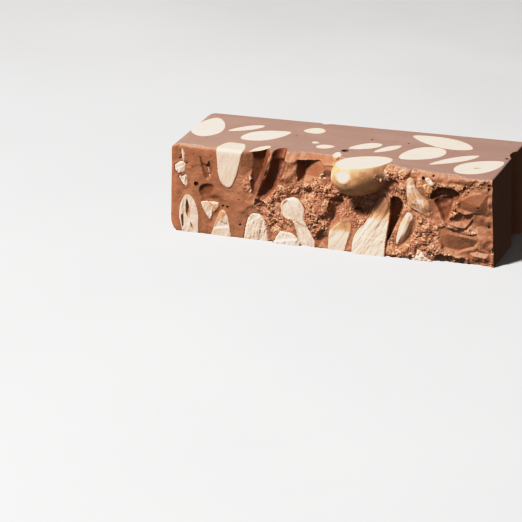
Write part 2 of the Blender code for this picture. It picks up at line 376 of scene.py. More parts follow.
class Graph:
    """A material's nodes, put down one by one and joined as they are."""

    def __init__(self, name: str) -> None:
        """Starts a material that holds a shader alone.

        Args:
            name: the name of the material.
        """
        self.material = bpy.data.materials.new(name)
        self.material.use_nodes = True
        self.tree = self.material.node_tree
        self.shader = self.tree.nodes["Principled BSDF"]
        self.place = self.put("ShaderNodeTexCoord").outputs["Object"]

    def put(self, kind: str, inputs: dict | None = None, **settings: object) -> bpy.types.Node:
        """Adds a node.

        Args:
            kind: Blender's name of the node.
            inputs: a socket to link, or a value to set, for each input by name or number.
            settings: the node's own settings.

        Returns:
            The node.
        """
        node = self.tree.nodes.new(kind)
        for name, value in settings.items():
            setattr(node, name, value)
        for name, value in (inputs or {}).items():
            self.feed(node.inputs[name], value)
        return node

    def feed(self, socket: Socket, value: Socket | float | Colour) -> None:
        """Links an input to a socket, or sets its value.

        Args:
            socket: the input.
            value: what it gets.
        """
        if isinstance(value, Socket):
            self.tree.links.new(value, socket)
        else:
            socket.default_value = (*value, 1.0) if socket.type == "RGBA" else value

    def grain(self, per_mm: float, detail: float = 3.0, stretch: Point = (1, 1, 1), **more: float) -> Socket:
        """Noise through the body of the piece.

        Args:
            per_mm: how many features there are in a millimetre.
            detail: how many finer layers it has.
            stretch: how much closer its features lie along X, Y and Z.
            more: other inputs of the noise.

        Returns:
            The socket of its value.
        """
        place = self.place
        if stretch != (1, 1, 1):
            place = self.put("ShaderNodeMapping", {"Vector": place, "Scale": stretch}).outputs["Vector"]
        inputs = {"Vector": place, "Scale": per_mm / MM, "Detail": detail, **more}
        return self.put("ShaderNodeTexNoise", inputs).outputs["Fac"]

    def cells(self, per_mm: float) -> Socket:
        """A value for each grain of a crumbly stuff, all over it, from 0 to 1."""
        node = self.put("ShaderNodeTexVoronoi", {"Vector": self.place, "Scale": per_mm / MM})
        return self.put("ShaderNodeSeparateColor", {"Color": node.outputs["Color"]}).outputs["Red"]

    def ramp(
        self, value: Socket, low: float, high: float, to_low: float = 0.0, to_high: float = 1.0
    ) -> Socket:
        """Stretches a range of a value over another range."""
        inputs = {"Value": value, "From Min": low, "From Max": high, "To Min": to_low, "To Max": to_high}
        return self.put("ShaderNodeMapRange", inputs, interpolation_type="SMOOTHSTEP").outputs["Result"]

    def mix(
        self, share: Socket, first: Socket | Colour, second: Socket | Colour, kind: str = "RGBA"
    ) -> Socket:
        """A blend.

        Args:
            share: how much of the second it has, from 0 to 1.
            first: a colour, or a value or vector where the kind says so.
            second: another of the same kind.
            kind: RGBA, FLOAT or VECTOR.

        Returns:
            The socket of the blend.
        """
        node = self.put("ShaderNodeMix", data_type=kind)
        number = ("FLOAT", "VECTOR", "RGBA").index(kind)
        for index, value in ((0, share), (2 + 2 * number, first), (3 + 2 * number, second)):
            self.feed(node.inputs[index], value)
        return node.outputs[number]

    def math(self, operation: str, first: Socket, second: Socket) -> Socket:
        """Two values taken together, such as by ADD or MULTIPLY."""
        return self.put("ShaderNodeMath", {0: first, 1: second}, operation=operation).outputs[0]

    def attribute(self, name: str) -> Socket:
        """The value of an attribute of the mesh."""
        return self.put("ShaderNodeAttribute", attribute_name=name).outputs["Fac"]

    def bump(self, height: Socket, depth_mm: float, normal: Socket | None = None) -> Socket:
        """Relief.

        Args:
            height: the socket of its height, from 0 to 1.
            depth_mm: what a height of 1 measures.
            normal: the socket of the relief that it lies on.

        Returns:
            The socket of the normal.
        """
        inputs = {"Height": height, "Distance": depth_mm * MM}
        if normal is not None:
            inputs["Normal"] = normal
        return self.put("ShaderNodeBump", inputs).outputs["Normal"]

    def finish(self, **inputs: Socket | float | Point) -> bpy.types.Material:
        """Feeds the shader.

        Args:
            inputs: a socket or a value for each input, by its name with _ for a space.

        Returns:
            The material.
        """
        for name, value in inputs.items():
            self.feed(self.shader.inputs[name.replace("_", " ")], value)
        return self.material


@dataclass(frozen=True)
class ChocolateFinish:
    """Milk chocolate as one process left it; the sawn finish also holds a painted sheen, and the print finish
    painted shade.
    """

    skin: Skin
    colour: Colour
    pale: Colour  # fat bloom, dust and worn spots
    dark: Colour  # denser, wetter spots
    roughness: Pair
    grain_mm: float  # size of its surface grain
    relief_mm: float  # depth of that grain
    mottle: float  # how much of the pale and the dark shows
    stretch: Point = (1.0, 1.0, 1.0)  # the way it is drawn out, by the saw or in the mould
    chips_mm: float = 0.0  # size of the single grains that differ in tone, or 0 for none
    shine: float = 0.3

    def look(self, graph: Graph) -> tuple[Socket, Socket, Socket]:
        """Puts this finish into a graph.

        Args:
            graph: the graph of the material.

        Returns:
            The sockets of its colour, its roughness and its normal.
        """
        cloud = graph.grain(0.12, 5.0, self.stretch, Roughness=0.6)
        fine = graph.grain(1.0 / self.grain_mm, 3.0, self.stretch, Roughness=0.65)
        specks = graph.grain(2.3 / self.grain_mm, 2.0)
        colour = graph.mix(graph.ramp(cloud, 0.35, 0.72, 0.0, self.mottle), self.colour, self.pale)
        colour = graph.mix(graph.ramp(fine, 0.52, 0.28, 0.0, self.mottle), colour, self.dark)
        colour = graph.mix(graph.ramp(specks, 0.6, 0.78, 0.0, self.mottle), colour, self.pale)
        if self.chips_mm:
            tone = graph.cells(1.0 / self.chips_mm)
            colour = graph.mix(graph.ramp(tone, 0.62, 0.95, 0.0, 0.85), colour, self.pale)
            colour = graph.mix(graph.ramp(tone, 0.42, 0.1, 0.0, 0.6), colour, self.dark)
        relief = graph.bump(specks, 0.4 * self.relief_mm, graph.bump(fine, self.relief_mm))
        return colour, graph.ramp(fine, 0.3, 0.7, *self.roughness), relief

    def material(self, *others: "ChocolateFinish") -> bpy.types.Material:
        """A material of this finish.

        Args:
            others: finishes that it turns into where the attribute named after their skin says so.

        Returns:
            The material.
        """
        graph = Graph(f"{self.skin.value}_chocolate")
        colour, roughness, relief = self.look(graph)
        for other in others:
            share = graph.attribute(other.skin.value)
            its_colour, its_roughness, its_relief = other.look(graph)
            colour = graph.mix(share, colour, its_colour)
            roughness = graph.mix(share, roughness, its_roughness, "FLOAT")
            relief = graph.mix(share, relief, its_relief, "VECTOR")
        return graph.finish(
            Base_Color=colour, Roughness=roughness, Specular_IOR_Level=self.shine, Normal=relief
        )


CHOCOLATE_FINISHES = (
    # Lighter and greyer than the broken finish: partly the saw's smear of fat, partly a painted sheen of the
    # light on the satin cut.
    ChocolateFinish(
        Skin.SAWN, colour=(0.286, 0.181, 0.145), pale=(0.342, 0.237, 0.201), dark=(0.231, 0.127, 0.092),
        roughness=(0.42, 0.55), grain_mm=0.7, relief_mm=0.02, mottle=0.35, stretch=(0.35, 1.0, 1.0),
    ),
    ChocolateFinish(
        Skin.MOULDED, colour=(0.32, 0.13, 0.062), pale=(0.45, 0.225, 0.13), dark=(0.21, 0.07, 0.028),
        roughness=(0.44, 0.58), grain_mm=1.1, relief_mm=0.03, mottle=0.25, stretch=(1.0, 1.0, 0.6),
        shine=0.12,
    ),
    ChocolateFinish(
        Skin.BROKEN, colour=(0.28, 0.113, 0.053), pale=(0.40, 0.198, 0.112), dark=(0.175, 0.058, 0.024),
        roughness=(0.45, 0.62), grain_mm=0.5, relief_mm=0.08, mottle=0.55,
    ),
    # Dark partly for the smooth skin of a print and partly as painted shade of the deep places that take it.
    ChocolateFinish(
        Skin.PRINT, colour=(0.145, 0.045, 0.017), pale=(0.21, 0.074, 0.032), dark=(0.085, 0.024, 0.009),
        roughness=(0.44, 0.6), grain_mm=0.9, relief_mm=0.04, mottle=0.45,
    ),
    ChocolateFinish(
        Skin.CRUMBLY, colour=(0.35, 0.14, 0.065), pale=(0.58, 0.335, 0.21), dark=(0.15, 0.048, 0.018),
        roughness=(0.45, 0.65), grain_mm=0.36, relief_mm=0.14, mottle=0.5, chips_mm=0.5,
    ),
)


@dataclass(frozen=True)
class AlmondFinish:
    """Blanched, roasted almond: cream flesh where it is cut or broken, golden outside."""

    name: str = "almond"
    flesh: Colour = (0.695, 0.515, 0.42)
    flesh_warm: Colour = (0.66, 0.465, 0.325)
    fleck: Colour = (0.46, 0.29, 0.16)
    golden: Colour = (0.49, 0.235, 0.10)
    golden_pale: Colour = (0.65, 0.375, 0.20)
    # also the colour of the painted shade on the flesh of shaded almonds
    roast: Colour = (0.26, 0.122, 0.058)
    slit: Colour = (0.36, 0.21, 0.12)
    roughness: Pair = (0.48, 0.7)

    def material(self) -> bpy.types.Material:
        """The material of this finish.

        Returns:
            The material, which reads from the mesh how much flesh shows, how toasted it is and how far its
            flesh is painted into shade.
        """
        graph = Graph(self.name)
        flesh, toast_and_shade = graph.attribute("flesh"), graph.attribute("toast_and_shade")
        cloud, fine = graph.grain(0.25, 4.0), graph.grain(1.6, 4.0, Roughness=0.7)
        fibres = graph.grain(0.9, 3.0, (1.0, 1.0, 0.25), Roughness=0.6)
        inside = graph.mix(graph.ramp(cloud, 0.42, 0.75, 0.0, 0.55), self.flesh, self.flesh_warm)
        inside = graph.mix(graph.ramp(fine, 0.62, 0.74, 0.0, 0.4), inside, self.fleck)
        skin = graph.mix(graph.ramp(graph.grain(0.45, 3.0), 0.3, 0.7), self.golden, self.golden_pale)
        skin = graph.mix(graph.ramp(cloud, 0.56, 0.75, 0.0, 0.7), skin, self.roast)
        colour = graph.mix(flesh, skin, inside)
        uneven = graph.math("MULTIPLY", graph.ramp(toast_and_shade, 0.32, 0.8), graph.ramp(cloud, 0.3, 0.7, -0.5, 0.5))
        toast_and_shade = graph.math("ADD", toast_and_shade, uneven)
        patchy = graph.math("MULTIPLY", graph.ramp(toast_and_shade, 0.0, 1.0), graph.ramp(fine, 0.3, 0.62, 0.62, 1.0))
        colour = graph.mix(patchy, colour, self.golden)
        # Beyond a toast of 1 the flesh turns towards the roast colour: painted shade.
        colour = graph.mix(graph.ramp(toast_and_shade, 1.0, 2.0, 0.0, 0.9), colour, self.roast)
        return graph.finish(
            Base_Color=graph.mix(graph.ramp(flesh, -0.2, -0.8), colour, self.slit),
            Roughness=graph.ramp(fine, 0.3, 0.7, *self.roughness),
            Specular_IOR_Level=0.35,
            Subsurface_Weight=0.12,
            Subsurface_Radius=(1.0, 0.6, 0.35),
            Subsurface_Scale=1.2 * MM,
            Normal=graph.bump(fine, 0.08, graph.bump(fibres, 0.07)),
        )


@dataclass(frozen=True)
class FloorFinish:
    """A plain pale floor, matt and a little uneven."""

    colour: Colour = (0.62, 0.61, 0.60)
    shade: Colour = (0.56, 0.55, 0.545)
    roughness: Pair = (0.7, 0.85)

    def material(self) -> bpy.types.Material:
        """The material of this finish.

        Returns:
            The material.
        """
        graph = Graph("pale_floor")
        cloud = graph.grain(0.01, 4.0)
        return graph.finish(
            Base_Color=graph.mix(graph.ramp(cloud, 0.3, 0.7), self.colour, self.shade),
            Roughness=graph.ramp(cloud, 0.3, 0.7, *self.roughness),
            Normal=graph.bump(graph.grain(0.8, 3.0), 0.05),
        )


# ---------------------------------------------------------------------------------------------------- almonds


class Nut:
    """An almond, or a piece of one, with slits and more of the same piece. Its kinds say how each is made."""

    others: tuple["Nut", ...]
    slits: tuple["Nut", ...]

    def complete(self, obj: Object) -> Object:
        """Fuses the rest of the piece onto its largest part and cuts its slits.

        Args:
            obj: the largest part, in millimetres.

        Returns:
            The same object.
        """
        if self.others:
            rest = [other.build(f"{obj.name}_{number}") for number, other in enumerate(self.others)]
            carve(obj, rest, "UNION")
        if self.slits:
            cutters = [slit.slit_cutter() for slit in self.slits]
            for cutter in cutters:
                store(cutter, "flesh", IN_SLIT)
            carve(obj, cutters)
        return obj

    def pocket(self) -> list[Object]:
        """Cutters for the room that the piece takes in the chocolate."""
        return [self.cutter(), *(cutter for other in self.others for cutter in other.pocket())]


@dataclass
class Almond(Nut):
    """An almond that lies level in the block, its tip towards its heading, which turns from +X towards +Y."""

    node: str
    middle: Point
    size: Point  # length, width and thickness
    heading: float
    roast: bool = False
    point: float = 0.22  # how pointed its two ends are
    facets: tuple[tuple[Point, float], ...] = ()  # chips: which way each looks, and its depth
    slits: tuple["Almond", ...] = ()  # narrow hollows in its sawn face
    others: tuple["Almond", ...] = ()  # more of the same piece

    GRAIN = 80.0  # the way the fibres of its flesh run, from +X towards +Z
    FACETS = (72, 48)  # round it and along it
    POCKET_FACETS = (36, 20)
    SLIT_FACETS = (24, 20)

    def lie(self) -> Matrix:
        """The way it lies, as a rotation of an almond whose tip points to +X."""
        return Matrix.Rotation(math.radians(self.heading), 4, "Z")

    def body(self, name: str, segments: int, rings: int, grow: float = 0.0) -> Object:
        """The whole almond.

        Args:
            name: the name of the object.
            segments: facets round it.
            rings: facets along it.
            grow: how much it is swollen on every side.

        Returns:
            A closed mesh in millimetres.
        """
        bpy.ops.mesh.primitive_uv_sphere_add(segments=segments, ring_count=rings, radius=1.0)
        obj = name_last(name)
        across, up, along = read_points(obj).T
        slim = (1 - TIP * (1 + along) / 2) / (1 - TIP / 2.6)
        slim *= np.maximum(1 - along**2, 1e-9) ** (0.5 * self.point)
        length, width, thickness = (0.5 * side + grow for side in self.size)
        write_points(obj, np.column_stack((length * along, width * across * slim, thickness * up * slim)))
        obj.data.transform(Matrix.Translation(self.middle) @ self.lie())
        face_outwards(obj)
        store(obj, "flesh", 0.0)
        return obj

    def flatten(self, obj: Object, point: Vector, normal: Vector, relief: float) -> None:
        """Presses what lies beyond a plane flat onto it, with the unevenness of cut flesh.

        Args:
            obj: the almond.
            point: a point of the plane.
            normal: towards the side that is pressed flat.
            relief: how deep the unevenness goes.
        """
        bisect(obj, point, normal, clear=False, fill=False)
        points, flesh, out = read_points(obj), stored(obj, "flesh"), np.array(normal)
        beyond = (points - np.array(point)) @ out
        pressed = np.nonzero(beyond > -1e-3)[0]
        beyond = beyond[pressed]
        spots = points[pressed] - beyond[:, None] * out
        us, vs = turned(spots[:, 0], spots[:, 2], self.GRAIN)
        waves = 1.1 * rough(us * 0.16, 0.5 * spots[:, 1], vs * 0.45) + 0.8 * rough(us * 0.35, 7.0, vs * 1.5)
        waves += 0.35 * rough(us * 1.6, 3.0, vs * 2.2)
        lift = relief * np.clip(beyond / 0.5, 0.0, 1.0) * waves
        points[pressed] = spots + lift[:, None] * out
        flesh[pressed] = np.maximum(flesh[pressed], np.minimum(1.0, 0.4 + beyond / RIM))
        write_points(obj, points)
        store(obj, "flesh", flesh)

    def wrinkle(self, obj: Object, depth: float) -> None:
        """Presses the long shallow furrows of almond skin into a body.

        Args:
            obj: the almond.
            depth: how deep they go.
        """
        points = read_points(obj)
        lengthwise = np.array(self.lie().to_3x3() @ Vector((1, 0, 0)))
        out = points - np.array(self.middle)
        lengths = out @ lengthwise
        across = out - lengths[:, None] * lengthwise
        sizes = np.linalg.norm(across, axis=1) + 1e-6
        ways = across / sizes[:, None]
        x, y, z = ways.T
        furrows = rough(2.6 * x + 9, 2.6 * y + 0.09 * lengths, 2.6 * z)
        furrows += 0.5 * rough(6.0 * x, 6.0 * y + 0.18 * lengths, 6.0 * z + 4)
        write_points(obj, points + ways * depth * furrows[:, None] * np.minimum(1.0, sizes / 1.5)[:, None])

    def build(self, name: str) -> Object:
        """The almond as it shows, wrinkled, chipped and cut level with the block's two saw cuts.

        Args:
            name: the name of the object.

        Returns:
            The object, in millimetres, with its flesh and toast attributes.
        """
        obj = self.body(name, *self.FACETS)
        self.wrinkle(obj, 0.16 if self.roast else 0.07)
        for way, depth in self.facets:
            normal = Vector(way).normalized()
            far = (read_points(obj) @ np.array(normal)).max()
            self.flatten(obj, normal * (far - depth), normal, 0.05)
        self.flatten(obj, *TOP_CUT, 0.012)
        self.flatten(obj, *BASE_CUT, 0.0)
        store(obj, "toast_and_shade", 0.0)
        return self.complete(obj)

    def cutter(self) -> Object:
        """A cutter for the room that this part takes."""
        return self.body("pocket", *self.POCKET_FACETS, TIGHT)

    def slit_cutter(self) -> Object:
        """A cutter of its shape, for a slit."""
        return self.body("slit", *self.SLIT_FACETS)


@dataclass
class Shard(Nut):
    """An almond in the break, known by the outline of the face that it shows there."""

    node: str
    outline: Outline
    front: float  # how far behind BREAK_Y its face lies
    depth: float  # how far it reaches into the chocolate
    crown: float = 0.0  # how far the middle of its face stands forward
    lean: Pair = (0.0, 0.0)  # how far its face falls back for each millimetre along X and along Z
    roast: bool = False  # whether it shows its skin
    relief: float = 0.16  # depth of the unevenness of its face
    grain: float = 80.0  # the way the fibres of that face run, from +X towards +Z
    # The default warms the flesh of the almonds in the break, partly as toast and partly as painted warm
    # light bounced off the chocolate.
    toast_and_shade: Pair = (0.3, 0.3)  # how golden its flesh is, at its foot and at its head; above 1 its flesh is painted brown as shade
    soften: float = 1.2  # how far round a corner of its outline is softened
    fray: float = 0.0  # how ragged its outline is
    folds: tuple[tuple[float, float, float, float], ...] = ()  # creases: x, z, the way they run, their step
    slits: tuple["Shard", ...] = ()
    others: tuple["Shard", ...] = ()  # more of the same piece

    CELL = 0.3  # of its mesh
    FACETS = (96, 40)  # round it and from front to back, before that
    POCKET_FACETS = (48, 16)
    SLIT_FACETS = (40, 24)
    POCKET_AHEAD = 4.0  # how far a pocket's cutter stands out of the break
    SLIT_AHEAD = 1.0
    LEAST_TOAST = 0.32  # of flesh that is golden anywhere

    def middle(self) -> Array:
        """The middle of the outline."""
        return ring_of(self.outline, 48, self.soften).mean(axis=0)

    def face(self, xs: Array, zs: Array) -> Array:
        """The y of the plain face at places."""
        x, z = self.middle()
        return BREAK_Y + self.front + self.lean[0] * (xs - x) + self.lean[1] * (zs - z)

    def body(self, name: str, segments: int, rings: int, deeper: float = 0.0, ahead: float = 0.0) -> Object:
        """The whole piece, from its face to its rounded back.

        Args:
            name: the name of the object.
            segments: facets round it.
            rings: facets from front to back.
            deeper: how much further back than the piece it reaches.
            ahead: how far it stands out of the break.

        Returns:
            A closed mesh in millimetres.
        """
        bpy.ops.mesh.primitive_uv_sphere_add(segments=segments, ring_count=rings, radius=1.0)
        obj = name_last(name)
        ball = read_points(obj)
        ring, middle = ring_of(self.outline, segments, self.soften), self.middle()
        turns = np.round(np.arctan2(ball[:, 1], ball[:, 0]) / (2 * math.pi) * segments).astype(int) % segments
        spread = np.sqrt(np.maximum(0.0, 1 - ball[:, 2] ** 2))
        xs, zs = (middle + (ring[turns] - middle) * spread[:, None]).T
        back, front = np.clip(ball[:, 2], 0.0, 1.0), np.clip(-ball[:, 2], 0.0, 1.0)
        ys = self.face(xs, zs) + (self.depth + deeper) * back - ahead * front
        write_points(obj, np.column_stack((xs, ys, zs)))
        face_outwards(obj)
        return obj

    def weather(self, obj: Object) -> None:
        """Makes a plain body's face uneven, rounds and frays its rim, and stores where its flesh shows.

        Args:
            obj: the body.
        """
        points = read_points(obj)
        xs, ys, zs = points.T
        seed = 0.37 * self.outline[0][0]
        away = rough(3.7 * xs, seed, 3.7 * zs) + 0.6 * rough(1.2 * xs, seed, 1.2 * zs)
        inside = -outside(self.outline, xs, zs) + self.fray * away
        behind = ys - self.face(xs, zs)
        front = 1 - smooth_step(behind, 0.15, 0.8)
        inner = smooth_step(inside, 0.1, 0.7)
        us, vs = turned(xs, zs, self.grain)
        waves = 1.1 * rough(us * 0.16, seed, vs * 0.45) + 0.9 * rough(us * 0.3, seed + 7, vs * 1.6)
        waves += 0.4 * rough(us * 1.5, seed + 3, vs * 2.4)
        lift = 0.16 * (1 - smooth_step(inside, 0.0, 0.35))
        lift += 1.6 * self.fray * (1 - smooth_step(inside, 0.0, 0.8))
        crowned = 1 - (1 - smooth_step(inside, 0.0, 0.5 * np.ptp(xs))) ** 2
        lift -= self.crown * crowned + self.relief * inner * waves
        for x, z, way, step in self.folds:
            lift += step * inner * smooth_step(turned(xs - x, zs - z, way)[1], -0.25, 0.25)
        points[:, 1] += front * lift + (1 - smooth_step(behind, 0.0, 3.5)) * edge_roll(xs, zs)
        write_points(obj, points)
        store(obj, "flesh", 0.0 if self.roast else front)

    def saw_through(self, obj: Object) -> None:
        """Saws the piece off where the block was sawn, and leaves a ring of skin round each sawn face.

        Args:
            obj: the piece, in millimetres.
        """
        for point, normal in (TOP_CUT, BASE_CUT):
            if ((read_points(obj) - np.array(point)) @ np.array(normal)).max() < 0:
                continue
            bisect(obj, point, normal, clear=True, fill=True)
            bpy.context.tool_settings.mesh_select_mode = (False, False, True)
            bpy.ops.object.mode_set(mode="EDIT")
            bpy.ops.mesh.select_all(action="DESELECT")
            bpy.ops.object.mode_set(mode="OBJECT")
            for face in obj.data.polygons:
                face.select = len(face.vertices) > 8 and face.normal.dot(normal) > LEVEL
            bpy.ops.object.mode_set(mode="EDIT")
            bpy.ops.mesh.inset(thickness=SHARD_RIM, depth=0.0)
            bpy.ops.object.mode_set(mode="OBJECT")
            flesh = stored(obj, "flesh")
            flesh[[index for face in obj.data.polygons if face.select for index in face.vertices]] = 1.0
            store(obj, "flesh", flesh)

    def toast_and_shade_flesh(self, obj: Object) -> None:
        """Stores at each vertex how golden its flesh is and how far it is painted into shade, and never quite
        raw where some of it is toasted.

        Args:
            obj: the piece.
        """
        low, high = self.toast_and_shade
        heights = read_points(obj)[:, 2]
        share = (heights - heights.min()) / max(np.ptp(heights), 1e-6)
        store(obj, "toast_and_shade", np.maximum(low + (high - low) * share, min(self.LEAST_TOAST, max(low, high))))

    def build(self, name: str) -> Object:
        """The piece as it shows.

        Args:
            name: the name of the object.

        Returns:
            The object, in millimetres, with its flesh and toast attributes.
        """
        obj = self.body(name, *self.FACETS)
        apply_modifier(obj, "REMESH", mode="VOXEL", voxel_size=self.CELL, use_smooth_shade=True)
        self.weather(obj)
        self.saw_through(obj)
        self.toast_and_shade_flesh(obj)
        return self.complete(obj)

    def cutter(self) -> Object:
        """A cutter for the room that this part takes."""
        return self.body("pocket", *self.POCKET_FACETS, TIGHT, self.POCKET_AHEAD)

    def slit_cutter(self) -> Object:
        """A cutter of its shape, for a slit."""
        return self.body("slit", *self.SLIT_FACETS, TIGHT, self.SLIT_AHEAD)

    def family(self) -> list["Shard"]:
        """The piece and what belongs to it."""
        return [self, *self.others]


def sliced_above(node: str, x: float, y: float, heading: float, *size: float, **more: object) -> Almond:
    """An almond that the upper saw cut went through a little above its middle."""
    return Almond(node, (x, y, top_height(x) - 0.6), size, heading, **more)


def slit_above(x: float, y: float, heading: float, length: float, width: float) -> Almond:
    """A narrow hollow in the upper sawn face of an almond."""
    return Almond("slit", (x, y, top_height(x)), (length, width, 1.6), heading)


def sliced_below(node: str, x: float, y: float, heading: float, *size: float, **more: object) -> Almond:
    """An almond that the lower saw cut went through."""
    return Almond(node, (x, y, 0.8), size, heading, **more)


SAWN_ALMONDS = [
    sliced_above("almond_top_01", -53.0, 1.9, 94, 22.0, 12.0, 9.0),
    sliced_above("almond_top_02", -39.9, 4.7, 222, 15.0, 4.4, 8.0, point=0.5),
    sliced_above("almond_top_03", -30.4, -0.2, 40, 20.5, 10.6, 8.0, point=0.6),
    sliced_above("almond_top_04", -15.7, 10.4, 200, 8.2, 6.6, 6.0),
    sliced_above(
        "almond_top_05", -6.3, -5.0, 22, 7.0, 4.2, 5.0,
        others=(sliced_above("chip", -11.0, -2.0, 0, 3.2, 2.2, 3.0),),
    ),
    sliced_above("almond_top_06", 6.9, 0.0, 220, 13.0, 5.6, 8.0, point=0.1),
    sliced_above("almond_top_07", 15.2, -0.1, 234, 12.8, 4.0, 8.0, point=0.5),
    sliced_above("almond_top_08", 31.3, 13.6, 163, 26.5, 11.0, 8.5, point=0.5),
    sliced_above("almond_top_09", 28.2, -1.1, 230, 19.4, 12.6, 9.0),
    sliced_above("almond_top_10", 40.8, -3.8, 226, 21.4, 5.0, 9.0, point=0.6),
    sliced_above(
        "almond_top_11", 51.4, -7.7, 51, 21.0, 12.2, 9.0, slits=(slit_above(51.0, -9.2, 20, 2.8, 0.6),),
    ),
    Almond("almond_top_12", (-27.4, -15.2, top_height(-27.4) - 0.1), (10.0, 3.4, 1.2), 237, point=0.5),
    sliced_above("almond_top_13", 0.4, -12.0, 100, 6.6, 3.2, 5.0, point=0.4),
    sliced_below("almond_base_01", -44.0, -3.0, 30, 22.0, 11.0, 8.0),
    sliced_below("almond_base_02", -25.0, 8.0, 140, 23.0, 10.0, 8.0, point=0.5),
    sliced_below("almond_base_03", -8.0, -5.0, 75, 15.0, 5.0, 8.0, point=0.4),
    sliced_below("almond_base_04", 6.0, 7.0, 200, 22.0, 12.0, 8.0),
    sliced_below("almond_base_05", 26.0, 0.0, 310, 24.0, 9.0, 8.0, point=0.5),
    sliced_below("almond_base_06", 44.0, 11.0, 20, 21.0, 11.5, 8.0),
    sliced_below("almond_base_07", 48.0, -8.0, 100, 16.0, 5.5, 8.0, point=0.4),
]

BIG_ALMOND = Almond(
    "almond_edge_big", (12.6, -16.0, 28.4), (27.0, 15.4, 16.0), 40, roast=True,
    # Two chips bare its cream flesh: an oval one in front, and one down its left side whose pale band is
    # partly a painted highlight of the light from the left.
    facets=(((-0.06, -0.97, 0.16), 0.42), ((-0.9, -0.4, 0.1), 0.4)),
)

